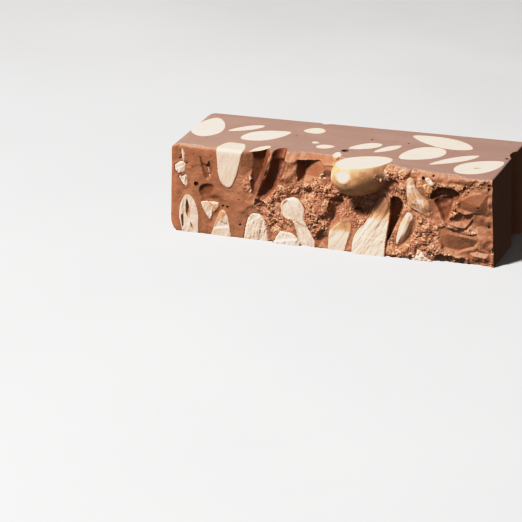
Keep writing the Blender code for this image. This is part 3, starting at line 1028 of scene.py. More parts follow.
SHARDS = [
    Shard(
        "almond_edge_left",
        (
            (-42.5, 37), (-42.4, 31), (-42.1, 24), (-41.2, 20.4), (-39.4, 18.6), (-37.2, 18.2), (-36.2, 19.4),
            (-34.6, 23.5), (-32.5, 32), (-31.6, 37),
        ),
        front=-0.15, depth=9.2, relief=0.07,
    ),
    Shard(
        "almond_break_01",
        (
            (-58.7, 25.5), (-57.2, 26.3), (-55.3, 26.9), (-54.2, 25.6), (-54.3, 22.8), (-55.6, 21.8),
            (-57.4, 21.5), (-58.7, 23.6),
        ),
        front=-0.1, depth=4.5, relief=0.42, fray=0.32, soften=0.5, folds=((-56.4, 24.3, 28, 0.3),),
        others=(
            Shard(
                "lower",
                (
                    (-57.4, 21.3), (-55.6, 21.7), (-54.0, 22.4), (-53.7, 21.5), (-53.6, 18.2), (-54.3, 16.6),
                    (-55.5, 18.0), (-56.7, 19.6),
                ),
                front=-0.05, depth=3.5, relief=0.36, fray=0.28, soften=0.4, folds=((-56.0, 19.3, -52, 0.35),),
            ),
            Shard(
                "sliver",
                ((-56.2, 31.6), (-55.5, 31.9), (-54.4, 29.5), (-54.2, 26.4), (-55.4, 26.2), (-55.9, 28.6)),
                front=0.2, depth=2.2, fray=0.2, soften=0.4,
            ),
        ),
    ),
    Shard(
        "almond_break_02",
        (
            (-55.0, 14.0), (-53.7, 14.8), (-52.3, 14.2), (-50.5, 11.5), (-49.5, 7.0), (-49.6, 0), (-49.8, -4),
            (-56.0, -4), (-56.1, 0), (-57.3, 5.6), (-56.8, 10.0),
        ),
        front=-0.1, depth=5.5, relief=0.2, folds=((-55.6, 4.0, 88, -0.25), (-53.0, 2.6, -60, 0.2)),
        slits=(
            Shard(
                "slit",
                ((-54.0, 13.0), (-53.2, 10.6), (-52.7, 7.4), (-53.5, 5.4), (-54.5, 7.0), (-54.5, 10.4)),
                0.0, 1.3, soften=0.5,
            ),
            Shard("slit", ((-52.9, 4.2), (-52.0, 3.0), (-51.6, 1.2), (-52.4, 1.9)), 0.0, 0.5, soften=0.4),
            Shard("slit", ((-56.3, 6.4), (-55.4, 7.0), (-55.2, 2.6), (-55.8, 1.6)), 0.0, 0.5, soften=0.4),
        ),
    ),
    Shard(
        "almond_break_03",
        ((-48.7, 12.2), (-46.0, 12.6), (-44.0, 10.2), (-44.2, 8.0), (-44.9, 5.0), (-46.6, 7.1), (-48.0, 9.8)),
        front=0.0, depth=3.2, relief=0.3, soften=0.6, lean=(0.1, 0.0), folds=((-46.6, 9.6, -56, 0.3),),
        others=(
            Shard(
                "skin",
                ((-46.4, 12.7), (-41.8, 12.7), (-41.4, 10.7), (-42.8, 8.6), (-44.4, 7.8), (-44.2, 10.2)),
                front=0.35, depth=2.4, relief=0.3, fray=0.15, soften=0.4, toast_and_shade=(0.55, 0.7),
            ),
        ),
    ),
    Shard(
        "almond_break_04",
        (
            (-41.6, 9.0), (-40.4, 10.1), (-39.2, 9.6), (-38.2, 7.4), (-37.4, 3.0), (-37.0, 0), (-36.9, -4),
            (-45.2, -4), (-44.9, 0), (-43.6, 3.6),
        ),
        front=-0.25, depth=6.0, relief=0.2, folds=((-40.6, 3.4, 12, 0.4), (-41.0, 5.6, -18, -0.25)),
        toast_and_shade=(-0.4, 1.0),
    ),
    Shard(
        "almond_break_05",
        (
            (-32.6, 0), (-31.9, 4.4), (-30.9, 8.0), (-29.0, 10.4), (-26.6, 10.2), (-24.0, 7.6), (-22.8, 3.4),
            (-22.4, 0), (-22.4, -4), (-32.6, -4),
        ),
        front=-0.3, depth=6.0, relief=0.34, fray=0.35, soften=0.9, folds=((-29.2, 7.0, 35, 0.25),),
    ),
    Shard(
        "almond_break_06",
        (
            (-18.4, 13.0), (-18.2, 15.0), (-16.5, 16.6), (-13.7, 17.6), (-11.8, 17.2), (-10.3, 15.6),
            (-9.1, 13.4), (-9.3, 10.6), (-8.8, 8.8), (-6.8, 5.4), (-4.9, 1.9), (-4.8, -3), (-10.8, -3),
            (-10.2, 0), (-11.8, 2.8), (-13.3, 8.2), (-14.5, 9.5), (-16.4, 9.2), (-18.0, 10.8),
        ),
        front=-0.7, depth=5.0, relief=0.26, soften=0.45, fray=0.12,
        folds=((-13.2, 11.6, 118, 0.5), (-11.6, 8.4, 160, 0.3)), crown=0.2, lean=(-0.05, 0.05), grain=105,
    ),
    Shard(
        "almond_break_07",
        (
            (-21.0, 0), (-19.6, 3.0), (-18.0, 4.9), (-16.6, 4.5), (-15.3, 5.1), (-13.0, 3.9), (-10.9, 1.8),
            (-10.2, 0), (-10.4, -3), (-20.9, -3),
        ),
        front=-1.5, depth=5.5, relief=0.36, fray=0.4, soften=0.8, folds=((-16.5, 1.6, 12, 0.4),),
        toast_and_shade=(0.0, 0.15),
    ),
    Shard(
        "almond_break_08",
        (
            (-0.2, 6.7), (2.2, 8.9), (4.4, 10.9), (6.7, 12.0), (8.1, 11.5), (8.3, 8.2), (7.2, 4.0), (6.2, 0),
            (5.6, -4), (-0.3, -4), (-0.2, 0),
        ),
        # Its head is painted brown as the shade under the big almond.
        front=-0.8, depth=6.0, relief=0.14, grain=58, lean=(0.0, 0.14), toast_and_shade=(-2.6, 2.5), soften=1.4,
    ),
    Shard(
        "almond_break_09",
        (
            (8.8, 0), (9.0, 4.6), (9.9, 7.7), (13.3, 11.1), (15.4, 14.4), (15.9, 17.2), (17.7, 20.3),
            (19.5, 21.2), (21.4, 19.9), (22.3, 15.6), (21.7, 10.3), (21.2, 5.0), (21.3, 0), (21.3, -4),
            (8.8, -4),
        ),
        front=-0.9, depth=6.5, relief=0.22, grain=58, lean=(0.0, 0.22),
        # Its head is painted brown as the shade under the big almond.
        folds=((14.0, 10.5, 58, 0.35), (17.5, 9.5, 62, -0.3), (12.0, 6.4, -4, 0.12)), toast_and_shade=(-4.6, 4.0),
    ),
    Shard(
        "almond_break_10",
        (
            (28.4, 17.0), (30.2, 16.6), (31.1, 14.3), (30.7, 11.4), (29.5, 8.3), (27.6, 5.7), (25.2, 3.6),
            (24.2, 4.3), (24.7, 8.2), (26.1, 12.3),
        ),
        front=0.5, depth=3.5, crown=1.6, relief=0.14, grain=68, toast_and_shade=(0.4, 0.55),
        folds=((28.6, 11.0, 68, 0.3),),
    ),
    Shard(
        "almond_break_11",
        (
            (28.3, 28.6), (29.4, 29.8), (31.0, 29.0), (31.8, 26.1), (33.7, 23.4), (36.5, 21.2), (37.0, 18.8),
            (36.9, 15.6), (33.8, 16.6), (31.0, 18.2), (28.9, 19.1), (28.4, 24.0),
        ),
        front=0.2, depth=4.5, crown=1.0, relief=0.3, grain=112, lean=(0.1, 0.02),
        folds=((31.0, 26.8, 10, 0.3), (33.4, 20.2, 140, 0.3)), toast_and_shade=(0.95, 0.55), soften=0.8,
    ),
    Shard(
        "almond_break_12", ((34.8, 29.9), (36.4, 30.4), (38.7, 28.1), (37.6, 26.7), (35.8, 27.9)),
        front=-0.1, depth=2.6, relief=0.3, fray=0.15, soften=0.6, folds=((36.6, 29.2, -50, 0.3),),
        others=(
            Shard(
                "skin", ((34.0, 27.3), (35.7, 28.1), (38.0, 26.9), (37.6, 24.5), (36.2, 23.8), (34.7, 25.1)),
                front=0.3, depth=2.4, roast=True, relief=0.3, soften=0.6, lean=(0.12, 0.0),
            ),
        ),
    ),
    Shard(
        "almond_break_13",
        (
            (30.0, 0), (31.4, 0.9), (32.5, 2.3), (33.2, 4.6), (34.2, 3.2), (35.6, 2.3), (36.8, 1.0),
            (38.6, 0), (38.8, -3), (30.0, -3),
        ),
        front=-1.9, depth=5.5, relief=0.42, fray=0.45, soften=0.6,
        folds=((33.6, 1.6, 24, 0.4), (34.6, 1.0, -70, 0.3)),
    ),
]

BROKEN_ALMONDS = [BIG_ALMOND, *SHARDS]
ROAST_NODES = ("almond_edge_big", "almond_break_10", "almond_break_11")


# -------------------------------------------------------------------------------------------------- chocolate


@dataclass(frozen=True)
class Zone:
    """An oval stretch of the break that differs from the rest."""

    x: float
    z: float
    half_width: float
    half_height: float
    change: float

    def share(self, xs: Array, zs: Array) -> Array:
        """How far into the zone places are, from 0 outside to 1 in its middle half."""
        away = np.hypot((xs - self.x) / self.half_width, (zs - self.z) / self.half_height)
        return 1 - smooth_step(away, 0.5, 1.0)


@dataclass(frozen=True)
class Swell:
    """A soft hill or hollow of the break."""

    x: float
    z: float
    half_width: float
    half_height: float
    back: float  # how far back it lies in its middle, less than 0 for a hill
    turn: float = 0.0  # from +X towards +Z

    def lift(self, xs: Array, zs: Array) -> Array:
        """How far back it takes the break at each place."""
        us, vs = turned(xs - self.x, zs - self.z, self.turn)
        return self.back * np.exp(-1.6 * ((us / self.half_width) ** 2 + (vs / self.half_height) ** 2))


@dataclass
class Relief:
    """Places on the break, and what it is like there."""

    xs: Array
    zs: Array
    plain: Array  # how far back it lay before it got its scars
    ys: Array  # how far back it lies
    crumbly: Array  # from 0 to 1
    print_and_shade: Array  # how much of the dark print colour it takes, partly painted shade, from 0 to 1


@dataclass(frozen=True)
class Hollow:
    """The smooth print of a lost almond in the break, or a deep place between crags, where the dark print
    colour is painted shade.
    """

    outline: Outline
    depth: float
    wall: float  # how far in from its rim its deepest part begins
    slant: Pair = (0.0, 0.0)  # how much deeper it gets along X and along Z, for each millimetre
    crumbly: float = 0.05
    print_and_shade: float = 1.0

    def press(self, relief: Relief) -> None:
        """Presses it into the break.

        Args:
            relief: the break so far, which is changed.
        """
        inside = -outside(self.outline, relief.xs, relief.zs)
        x, z = np.mean(self.outline, axis=0)
        deep = self.depth + self.slant[0] * (relief.xs - x) + self.slant[1] * (relief.zs - z)
        reach = np.clip(inside / self.wall, 0.0, 1.0)
        relief.ys = np.maximum(relief.ys, relief.plain + np.maximum(deep, 0.4) * (1 - (1 - reach) ** 2.2))
        relief.crumbly += smooth_step(inside, -0.9, 0.0) * (self.crumbly - relief.crumbly)
        relief.print_and_shade += smooth_step(inside, -0.12, 0.4) * (self.print_and_shade - relief.print_and_shade)


@dataclass(frozen=True)
class Facets:
    """Flat scars of the break, which meet in crisp edges."""

    rim: tuple[Point, ...]  # corners: x, z and how far behind the plain break
    within: tuple[Point, ...]
    faces: tuple[tuple[int, int, int], ...]  # corners by number, those of the rim first
    print_and_shade: tuple[int, ...] = ()  # the faces that take the dark print colour: the print of an almond, and painted shade where a face lies in shade
    crumbly: float = 0.06

    def press(self, relief: Relief) -> None:
        """Puts the facets in the place of the break.

        Args:
            relief: the break so far, which is changed.
        """
        xs, zs, ys = relief.xs, relief.zs, relief.ys
        corners = []
        for x, z, back in (*self.rim, *self.within):
            nearest = np.argmin((xs - x) ** 2 + (zs - z) ** 2)
            corners.append((x, z, ys[nearest] + back))
        inside = -outside(tuple(corner[:2] for corner in self.rim), xs, zs, soften=0.3)
        blend = smooth_step(inside, 0.0, 0.5)
        for number, face in enumerate(self.faces):
            (x0, z0, y0), (x1, z1, y1), (x2, z2, y2) = (corners[index] for index in face)
            area = (x1 - x0) * (z2 - z0) - (x2 - x0) * (z1 - z0)
            second = ((xs - x0) * (z2 - z0) - (x2 - x0) * (zs - z0)) / area
            third = ((x1 - x0) * (zs - z0) - (xs - x0) * (z1 - z0)) / area
            here = (second >= 0) & (third >= 0) & (second + third <= 1)
            plane = y0 + (y1 - y0) * second + (y2 - y0) * third
            ys[here] += (blend * (plane - ys))[here]
            relief.print_and_shade[here] += (blend * (float(number in self.print_and_shade) - relief.print_and_shade))[here]
        relief.crumbly += smooth_step(inside, -0.5, 0.0) * (self.crumbly - relief.crumbly)


@dataclass
class Break:
    """The snapped front: how far back it lies at each place, and how rough it is there."""

    bow: float = 1.4  # how far its foot stands forward in the middle
    recess_at_top: tuple[Pair, ...] = (  # x, and how far behind BREAK_Y the upper edge has gone there
        (-64, 0.0), (-29, 0.2), (-18, 4.4), (-8, 7.3), (0, 5.9), (12, 4.8), (21, 3.5), (31, 2.0), (42, 0.3),
        (51, -0.8), (58, -0.5), (64, 0.0),
    )
    recess_below_edge: float = 0.5  # the share of it that is left under the strip along the upper edge
    edge_strip: Pair = (29.6, 32.3)  # heights between which that strip slants
    smooth_part: Pair = (-36, -22)  # the break is smooth left of this stretch of X and craggy right of it
    crag_height: float = 1.1
    least_crumbly: float = 0.02  # below this share the break has no crumbs of its own
    calm: tuple[Zone, ...] = (
        Zone(-15.5, 26.0, 7.0, 9.0, -0.7), Zone(-8.0, 31.5, 12.0, 2.4, -0.8),
        Zone(-3.0, 26.5, 6.0, 6.0, -0.8), Zone(-2.5, 3.0, 3.2, 4.5, -0.75), Zone(39.0, 17.5, 3.6, 5.5, -1.0),
        Zone(46.5, 8.5, 9.0, 6.0, -0.85), Zone(51.0, 2.0, 12.0, 5.0, -0.8), Zone(53.0, 21.0, 6.0, 10.0, -0.9),
        Zone(57.5, 17.0, 4.5, 20.0, -0.8), Zone(42.0, 30.5, 18.0, 2.6, -0.7),
        Zone(-27.0, 13.0, 5.0, 8.0, -0.6), Zone(-25.0, 25.0, 4.0, 11.0, -0.8),
    )
    swells: tuple[Swell, ...] = (
        Swell(10.0, 21.0, 11.0, 6.5, 4.2), Swell(1.4, 13.0, 2.6, 9.0, 2.2, turn=-14),
        Swell(10.0, 15.0, 3.4, 2.6, 1.4), Swell(24.4, 13.0, 1.9, 9.0, 1.6, turn=-10),
        Swell(-6.0, 11.0, 4.2, 6.0, -1.4), Swell(-2.5, 3.0, 3.0, 3.5, 1.2),
        Swell(-17.5, 21.0, 4.0, 6.0, -0.8, turn=20), Swell(-20.0, 7.5, 2.4, 4.0, 1.2),
        Swell(-8.3, 19.3, 2.4, 2.0, 1.6), Swell(-25.0, 24.2, 0.5, 9.5, -0.5, turn=-19),
        Swell(34.0, 10.5, 4.8, 5.0, -1.0), Swell(24.0, 26.0, 3.0, 4.0, -0.5),
        Swell(57.0, 2.6, 3.0, 2.2, -0.4),
    )
    # Most of these take the dark print colour: in the prints of lost almonds it is their smooth skin, and in
    # the deep places under and beside the almonds and at the foot it is painted shade.
    hollows: tuple[Hollow, ...] = (
        Hollow(
            (
                (-22.2, 34), (-17.7, 34), (-17.2, 27.8), (-17.7, 24.9), (-20.2, 20.6), (-22.6, 17.4),
                (-24.6, 15.2), (-26.8, 14.0), (-27.5, 15.7), (-26.6, 18.5), (-24.4, 23.0), (-22.6, 27.4),
            ),
            2.7, 2.2, slant=(0.24, 0.06),
        ),
        Hollow(
            (
                (-28.1, 13.4), (-28.0, 15.6), (-25.6, 15.2), (-23.4, 14.2), (-22.6, 11.6), (-24.2, 10.6),
                (-26.6, 11.6),
            ),
            1.9, 1.8, crumbly=0.75, print_and_shade=0.7,
        ),
        Hollow(
            (
                (-49.4, 16.4), (-48.7, 18.3), (-46.9, 19.2), (-44.4, 19.5), (-43.3, 18.6), (-43.6, 16.4),
                (-45.2, 14.0), (-47.2, 13.2), (-48.8, 14.2),
            ),
            0.95, 1.9, slant=(-0.08, -0.06), print_and_shade=0.75,
        ),
        Hollow(
            (
                (-48.9, 29.6), (-48.2, 29.2), (-47.2, 26.6), (-45.9, 26.4), (-45.3, 28.3), (-44.5, 27.0),
                (-43.9, 24.9), (-44.2, 22.5), (-45.6, 20.6), (-46.6, 20.6), (-47.4, 22.2), (-48.3, 25.4),
            ),
            0.85, 1.2, print_and_shade=0.6,
        ),
        Hollow(
            ((-56.6, 31.6), (-56.0, 28.8), (-57.4, 27.4), (-56.4, 26.8), (-54.4, 27.2), (-54.0, 29.4)),
            0.8, 0.8,
        ),
        Hollow(
            (
                (36.5, 22.5), (37.1, 24.9), (38.5, 26.4), (41.3, 27.3), (45.1, 27.5), (47.5, 26.0),
                (48.0, 24.7), (47.1, 23.2), (44.6, 22.2), (41.3, 21.8), (38.4, 21.6),
            ),
            2.6, 2.0, slant=(0.0, 0.2),
        ),
        Hollow(
            (
                (37.9, 21.8), (38.6, 24.0), (45.6, 24.6), (45.3, 22.5), (44.8, 20.1), (43.9, 17.5),
                (42.8, 14.5), (41.5, 15.3), (39.8, 18.6),
            ),
            2.4, 1.7, slant=(0.12, 0.12),
        ),
        Hollow(
            (
                (-1.2, 17.4), (1.6, 18.3), (4.3, 17.8), (5.7, 13.8), (3.5, 11.3), (0.9, 8.4), (-0.5, 7.5),
                (-1.3, 12.0),
            ),
            1.2, 2.0, crumbly=0.55, print_and_shade=0.7,
        ),
        Hollow(
            (
                (2.1, 19.6), (10.4, 18.8), (16.4, 21.6), (18.6, 23.2), (17.2, 19.6), (15.4, 16.3),
                (13.6, 12.5), (9.5, 10.6), (7.2, 12.6), (4.6, 15.3),
            ),
            1.6, 2.4, crumbly=0.8, print_and_shade=0.55,
        ),
        Hollow(
            ((7.7, 15.0), (10.0, 15.2), (11.3, 13.9), (9.8, 13.0), (8.0, 13.6)),
            3.4, 0.9, crumbly=0.3, print_and_shade=0.9,
        ),
        Hollow(
            ((19.6, 26.4), (22.4, 28.2), (25.6, 27.4), (25.4, 21.9), (22.6, 20.8), (19.3, 23.5)),
            1.8, 2.2, crumbly=0.5, print_and_shade=0.8,
        ),
        Hollow(
            (
                (21.9, 21.4), (24.7, 21.6), (27.0, 19.0), (26.0, 15.2), (23.8, 10.5), (22.6, 6.4),
                (21.0, 4.5), (21.1, 9.6), (22.0, 15.5),
            ),
            3.2, 1.1, crumbly=0.3, print_and_shade=0.9,
        ),
        Hollow(
            (
                (38.8, 0.6), (39.8, 2.4), (41.6, 3.5), (43.0, 2.6), (45.4, 3.3), (47.0, 2.2), (49.6, 2.6),
                (51.4, 1.2), (50.6, -1.8), (39.4, -1.8),
            ),
            1.7, 2.4, crumbly=0.85, print_and_shade=0.3,
        ),
    )
    facets: tuple[Facets, ...] = (
        Facets(  # the print of the almond that slants down from the upper edge
            rim=(
                (-32.6, 34.0, 0), (-33.4, 26.8, 0), (-32.4, 23.0, 0), (-29.9, 21.4, 0.1), (-28.7, 15.8, 0),
                (-26.8, 18.4, -0.1), (-24.6, 24.4, -0.2), (-23.2, 29.0, -0.2), (-22.8, 34.0, -0.1),
            ),
            within=(
                (-29.2, 33.9, 2.2), (-29.4, 26.2, 1.5), (-28.6, 20.2, 1.7), (-25.4, 33.9, 4.4),
                (-26.3, 25.6, 3.4),
            ),
            faces=(
                (0, 1, 10), (0, 10, 9), (1, 2, 10), (2, 3, 10), (3, 11, 10), (3, 4, 11), (4, 5, 11),
                (9, 10, 13), (9, 13, 12), (10, 11, 13), (11, 5, 13), (13, 5, 6), (13, 6, 7), (12, 13, 7),
                (12, 7, 8),
            ),
            print_and_shade=(4, 5, 6, 7, 8, 9, 10, 11, 12, 13, 14),
        ),
        Facets(  # the notch under the edge
            rim=(
                (-13.6, 30.5, 0), (-4.6, 31.1, 0), (-2.4, 28.6, 0), (-4.8, 24.8, 0), (-10.6, 21.3, 0),
                (-13.0, 22.5, 0),
            ),
            within=((-11.5, 29.8, 4.2), (-11.4, 24.2, 3.2), (-8.6, 29.6, 3.0)),
            faces=(
                (0, 6, 5), (5, 6, 7), (0, 1, 6), (6, 1, 8), (6, 8, 7), (8, 1, 2), (8, 2, 3), (8, 3, 7),
                (7, 3, 4), (7, 4, 5),
            ),
            print_and_shade=(0, 1, 2, 4),
        ),
        Facets(  # two scars that meet in an upright ridge near the right end
            rim=(
                (47.9, 23.4, 0.1), (50.9, 26.0, 0), (53.0, 27.2, 0), (58.3, 27.4, 0.1), (58.4, 18.2, 0.1),
                (53.6, 18.8, 0), (49.4, 18.8, 0.6), (47.4, 20.4, 0.6),
            ),
            within=((52.9, 26.3, -0.5), (55.2, 22.4, -1.0), (53.3, 19.3, -0.5)),
            faces=(
                (0, 1, 8), (1, 2, 8), (0, 8, 9), (0, 9, 7), (7, 9, 10), (7, 10, 6), (6, 10, 5), (2, 3, 8),
                (3, 9, 8), (3, 4, 9), (4, 10, 9), (4, 5, 10),
            ),
        ),
        Facets(  # the shell-shaped ledge under them
            rim=(
                (43.2, 14.7, -0.2), (45.5, 16.9, 0.8), (48.3, 19.3, 1.3), (49.4, 18.4, 0.8),
                (52.8, 18.8, 0.5), (53.1, 17.6, 0.1), (51.3, 14.3, -0.7), (50.0, 12.9, -1.0),
                (47.4, 13.3, -1.0), (44.4, 13.9, -0.6),
            ),
            within=((48.6, 15.6, 0.7),), faces=tuple((corner, (corner + 1) % 10, 10) for corner in range(10)),
        ),
        Facets(  # the wide flat scar at the foot, under a lip
            rim=(
                (40.5, 12.2, 0.1), (42.5, 13.0, 0.1), (46.5, 12.2, 0.8), (51.0, 10.5, 0.9), (53.8, 11.3, 0.2),
                (55.4, 9.2, 0.3), (52.9, 5.8, 1.1), (47.5, 4.0, 1.4), (42.0, 5.0, 1.3), (40.7, 8.5, 0.2),
            ),
            within=((47.2, 10.2, -0.2), (43.4, 10.6, -0.3)),
            faces=(
                (0, 1, 11), (1, 2, 11), (2, 10, 11), (2, 3, 10), (3, 4, 10), (4, 5, 10), (5, 6, 10),
                (6, 7, 10), (7, 8, 10), (8, 11, 10), (8, 9, 11), (9, 0, 11),
            ),
        ),
        Facets(  # the chunk at the foot of the right end
            rim=(
                (51.1, 4.2, 0.4), (54.7, 5.0, 0.2), (59.1, 5.1, 0.3), (59.6, 2.0, 0.2), (55.8, 0.7, 0.2),
                (51.6, 1.3, 0.5),
            ),
            within=((53.4, 3.4, -1.0), (57.5, 3.3, -0.9)),
            faces=((0, 1, 6), (1, 7, 6), (1, 2, 7), (2, 3, 7), (3, 4, 7), (4, 6, 7), (4, 5, 6), (5, 0, 6)),
        ),
    )
    rim_x: float = -57.5  # left of this the mould rounded the block's end
    rim_size: Pair = (3.1, 0.9)  # how far that reaches along the block and back
    burr: float = 0.3  # the sharp lip along the right edge
    burr_x: float = 59.9
    near_almond: float = 2.9  # how far round an almond the chocolate lies close behind its face

    def recess(self, xs: Array) -> Array:
        """How far the upper edge lies behind BREAK_Y.

        Args:
            xs: the places.

        Returns:
            The recess at each.
        """
        deep = np.zeros(len(xs))
        for (x0, deep0), (x1, deep1) in reversed(list(zip(self.recess_at_top, self.recess_at_top[1:]))):
            deep = np.where(xs <= x1, deep0 + (deep1 - deep0) * smooth_step(xs, x0, x1), deep)
        return deep

    def large(self, xs: Array, zs: Array) -> Array:
        """The break without its scars and its fine relief.

        Args:
            xs: the places.
            zs: the places.

        Returns:
            The y of each.
        """
        bow = self.bow * smooth_step(xs, -40, -10) * (1 - smooth_step(xs, 30, 58))
        lower, strip = smooth_step(zs, 2, 26), smooth_step(zs, *self.edge_strip)
        slope = self.recess(xs) * (self.recess_below_edge * lower + (1 - self.recess_below_edge) * strip)
        slope -= bow * (1 - smooth_step(zs, 0, 14))
        craggy = 0.15 + 0.85 * smooth_step(xs, *self.smooth_part)
        crags = rough(xs * 0.16, 7.3, zs * 0.19) + 0.6 * rough(xs * 0.41, 1.7, zs * 0.45)
        return BREAK_Y + slope + craggy * self.crag_height * crags

    def crumbling(self, xs: Array, zs: Array) -> Array:
        """How crumbly the break is at places.

        Args:
            xs: the places.
            zs: the places.

        Returns:
            A share from 0 to 1 for each.
        """
        share = 0.05 + 0.95 * smooth_step(xs + 0.4 * (zs - 16), *self.smooth_part)
        for zone in self.calm:
            share *= 1 + zone.change * zone.share(xs, zs)
        return np.clip(share, 0.0, 1.0)

    def surface(self, xs: Array, zs: Array) -> tuple[Array, dict[Skin, Array]]:
        """The break with all its relief.

        Args:
            xs: the places.
            zs: the places.

        Returns:
            The y of each, and how much each has of the skins that the broken one turns into.
        """
        ys = self.large(xs, zs)
        for swell in self.swells:
            ys += swell.lift(xs, zs)
        relief = Relief(xs, zs, ys, ys.copy(), self.crumbling(xs, zs), np.zeros(len(xs)))
        for scar in (*self.hollows, *self.facets):
            scar.press(relief)
        self.settle_round_almonds(relief)
        relief.ys += self.grain(relief)
        rim = np.clip((self.rim_x - xs) / self.rim_size[0], 0.0, 0.98)
        relief.ys += self.rim_size[1] * (1 - np.sqrt(1 - rim**2))
        rolled = edge_roll(xs, zs)
        relief.ys += rolled + self.edge_wear(xs, zs)
        relief.ys -= self.burr * np.exp(-(((xs - self.burr_x) / 0.3) ** 2))
        return relief.ys, {
            Skin.PRINT: relief.print_and_shade,
            Skin.CRUMBLY: smooth_step(relief.crumbly, 0.25, 0.6) * (1 - relief.print_and_shade),
            Skin.SAWN: smooth_step(rolled, 0.25, 0.85) * (1 - relief.print_and_shade),
            Skin.MOULDED: smooth_step(self.rim_x - xs, -0.3, 0.7),
        }

    def settle_round_almonds(self, relief: Relief) -> None:
        """Keeps the chocolate close behind the faces of the almonds round about them, and calmer there.

        Args:
            relief: the break so far, which is changed.
        """
        for piece in [piece for shard in SHARDS for piece in shard.family()]:
            away = outside(piece.outline, relief.xs, relief.zs)
            spots = np.nonzero(away < self.near_almond)[0]
            away = away[spots]
            behind = piece.face(relief.xs[spots], relief.zs[spots]) + 0.14 + 0.18 * away - relief.ys[spots]
            relief.ys[spots] += (1 - smooth_step(away, 0.3, self.near_almond)) * np.maximum(0.0, behind)
            relief.crumbly[spots] *= 0.25 + 0.75 * smooth_step(away, 0.4, 1.6)

    def grain(self, relief: Relief) -> Array:
        """The fine relief.

        Args:
            relief: the break, with how crumbly it is.

        Returns:
            How far back it takes the break at each place.
        """
        xs, zs = relief.xs, relief.zs
        lift = 0.1 * rough(xs * 0.3, 3.1, zs * 0.22) + 0.05 * rough(xs * 0.9, 5.1, zs * 0.9)
        for index in np.nonzero(relief.crumbly > self.least_crumbly)[0]:
            x, z = xs[index], zs[index]
            spot = Vector((x, 2.0, z))
            crags = 0.5 * noise.noise(spot * 0.5) - 0.6 * abs(noise.noise(spot * 0.8))
            chips = self.chips(x, z, 1.6, 0.38) + self.chips(x + 31, z, 0.75, 0.22)
            lift[index] += relief.crumbly[index] * (crags + 0.12 * noise.noise(spot * 4.1) - chips)
        return lift

    @staticmethod
    def chips(x: float, z: float, spacing: float, height: float) -> float:
        """Angular grains that stand out of the break, each tilted its own way.

        Args:
            x: the place.
            z: the place.
            spacing: how far apart the grains are.
            height: how far they stand out.

        Returns:
            How far the break stands out there.
        """
        distances, places = noise.voronoi(Vector((x / spacing, 0.0, z / spacing)))
        tilt = noise.cell_vector(places[0] * 7.7)
        flat = (x / spacing - places[0].x) * (tilt.x - 0.5) + (z / spacing - places[0].z) * (tilt.z - 0.5)
        return height * min(1.0, (distances[1] - distances[0]) / 0.3) * (0.25 + 0.9 * tilt.y + 1.6 * flat)

    @staticmethod
    def edge_wear(xs: Array, zs: Array) -> Array:
        """How the break leans back where it meets a saw cut, whose edge crumbled a little.

        Args:
            xs: the places.
            zs: the places.

        Returns:
            How far back at each.
        """
        above, below = np.maximum(0.0, top_height(xs) - zs), np.maximum(0.0, zs)
        bite = 0.22 + 0.2 * rough(xs * 0.5, 9.0, 0.0) + 0.16 * rough(xs * 1.7, 4.0, 0.0)
        return bite * (np.exp(-above / 0.25) + 0.8 * np.exp(-below / 0.25))


def dress(obj: Object, *skins: Skin) -> None:
    """Gives a piece of chocolate the materials of some skins, and none yet of those that blend in.

    Args:
        obj: the piece.
        skins: in the order of its material slots.
    """
    for skin in skins:
        obj.data.materials.append(bpy.data.materials[f"{skin.value}_chocolate"])
    for skin in BLENDED_SKINS:
        store(obj, skin.value, 0.0)


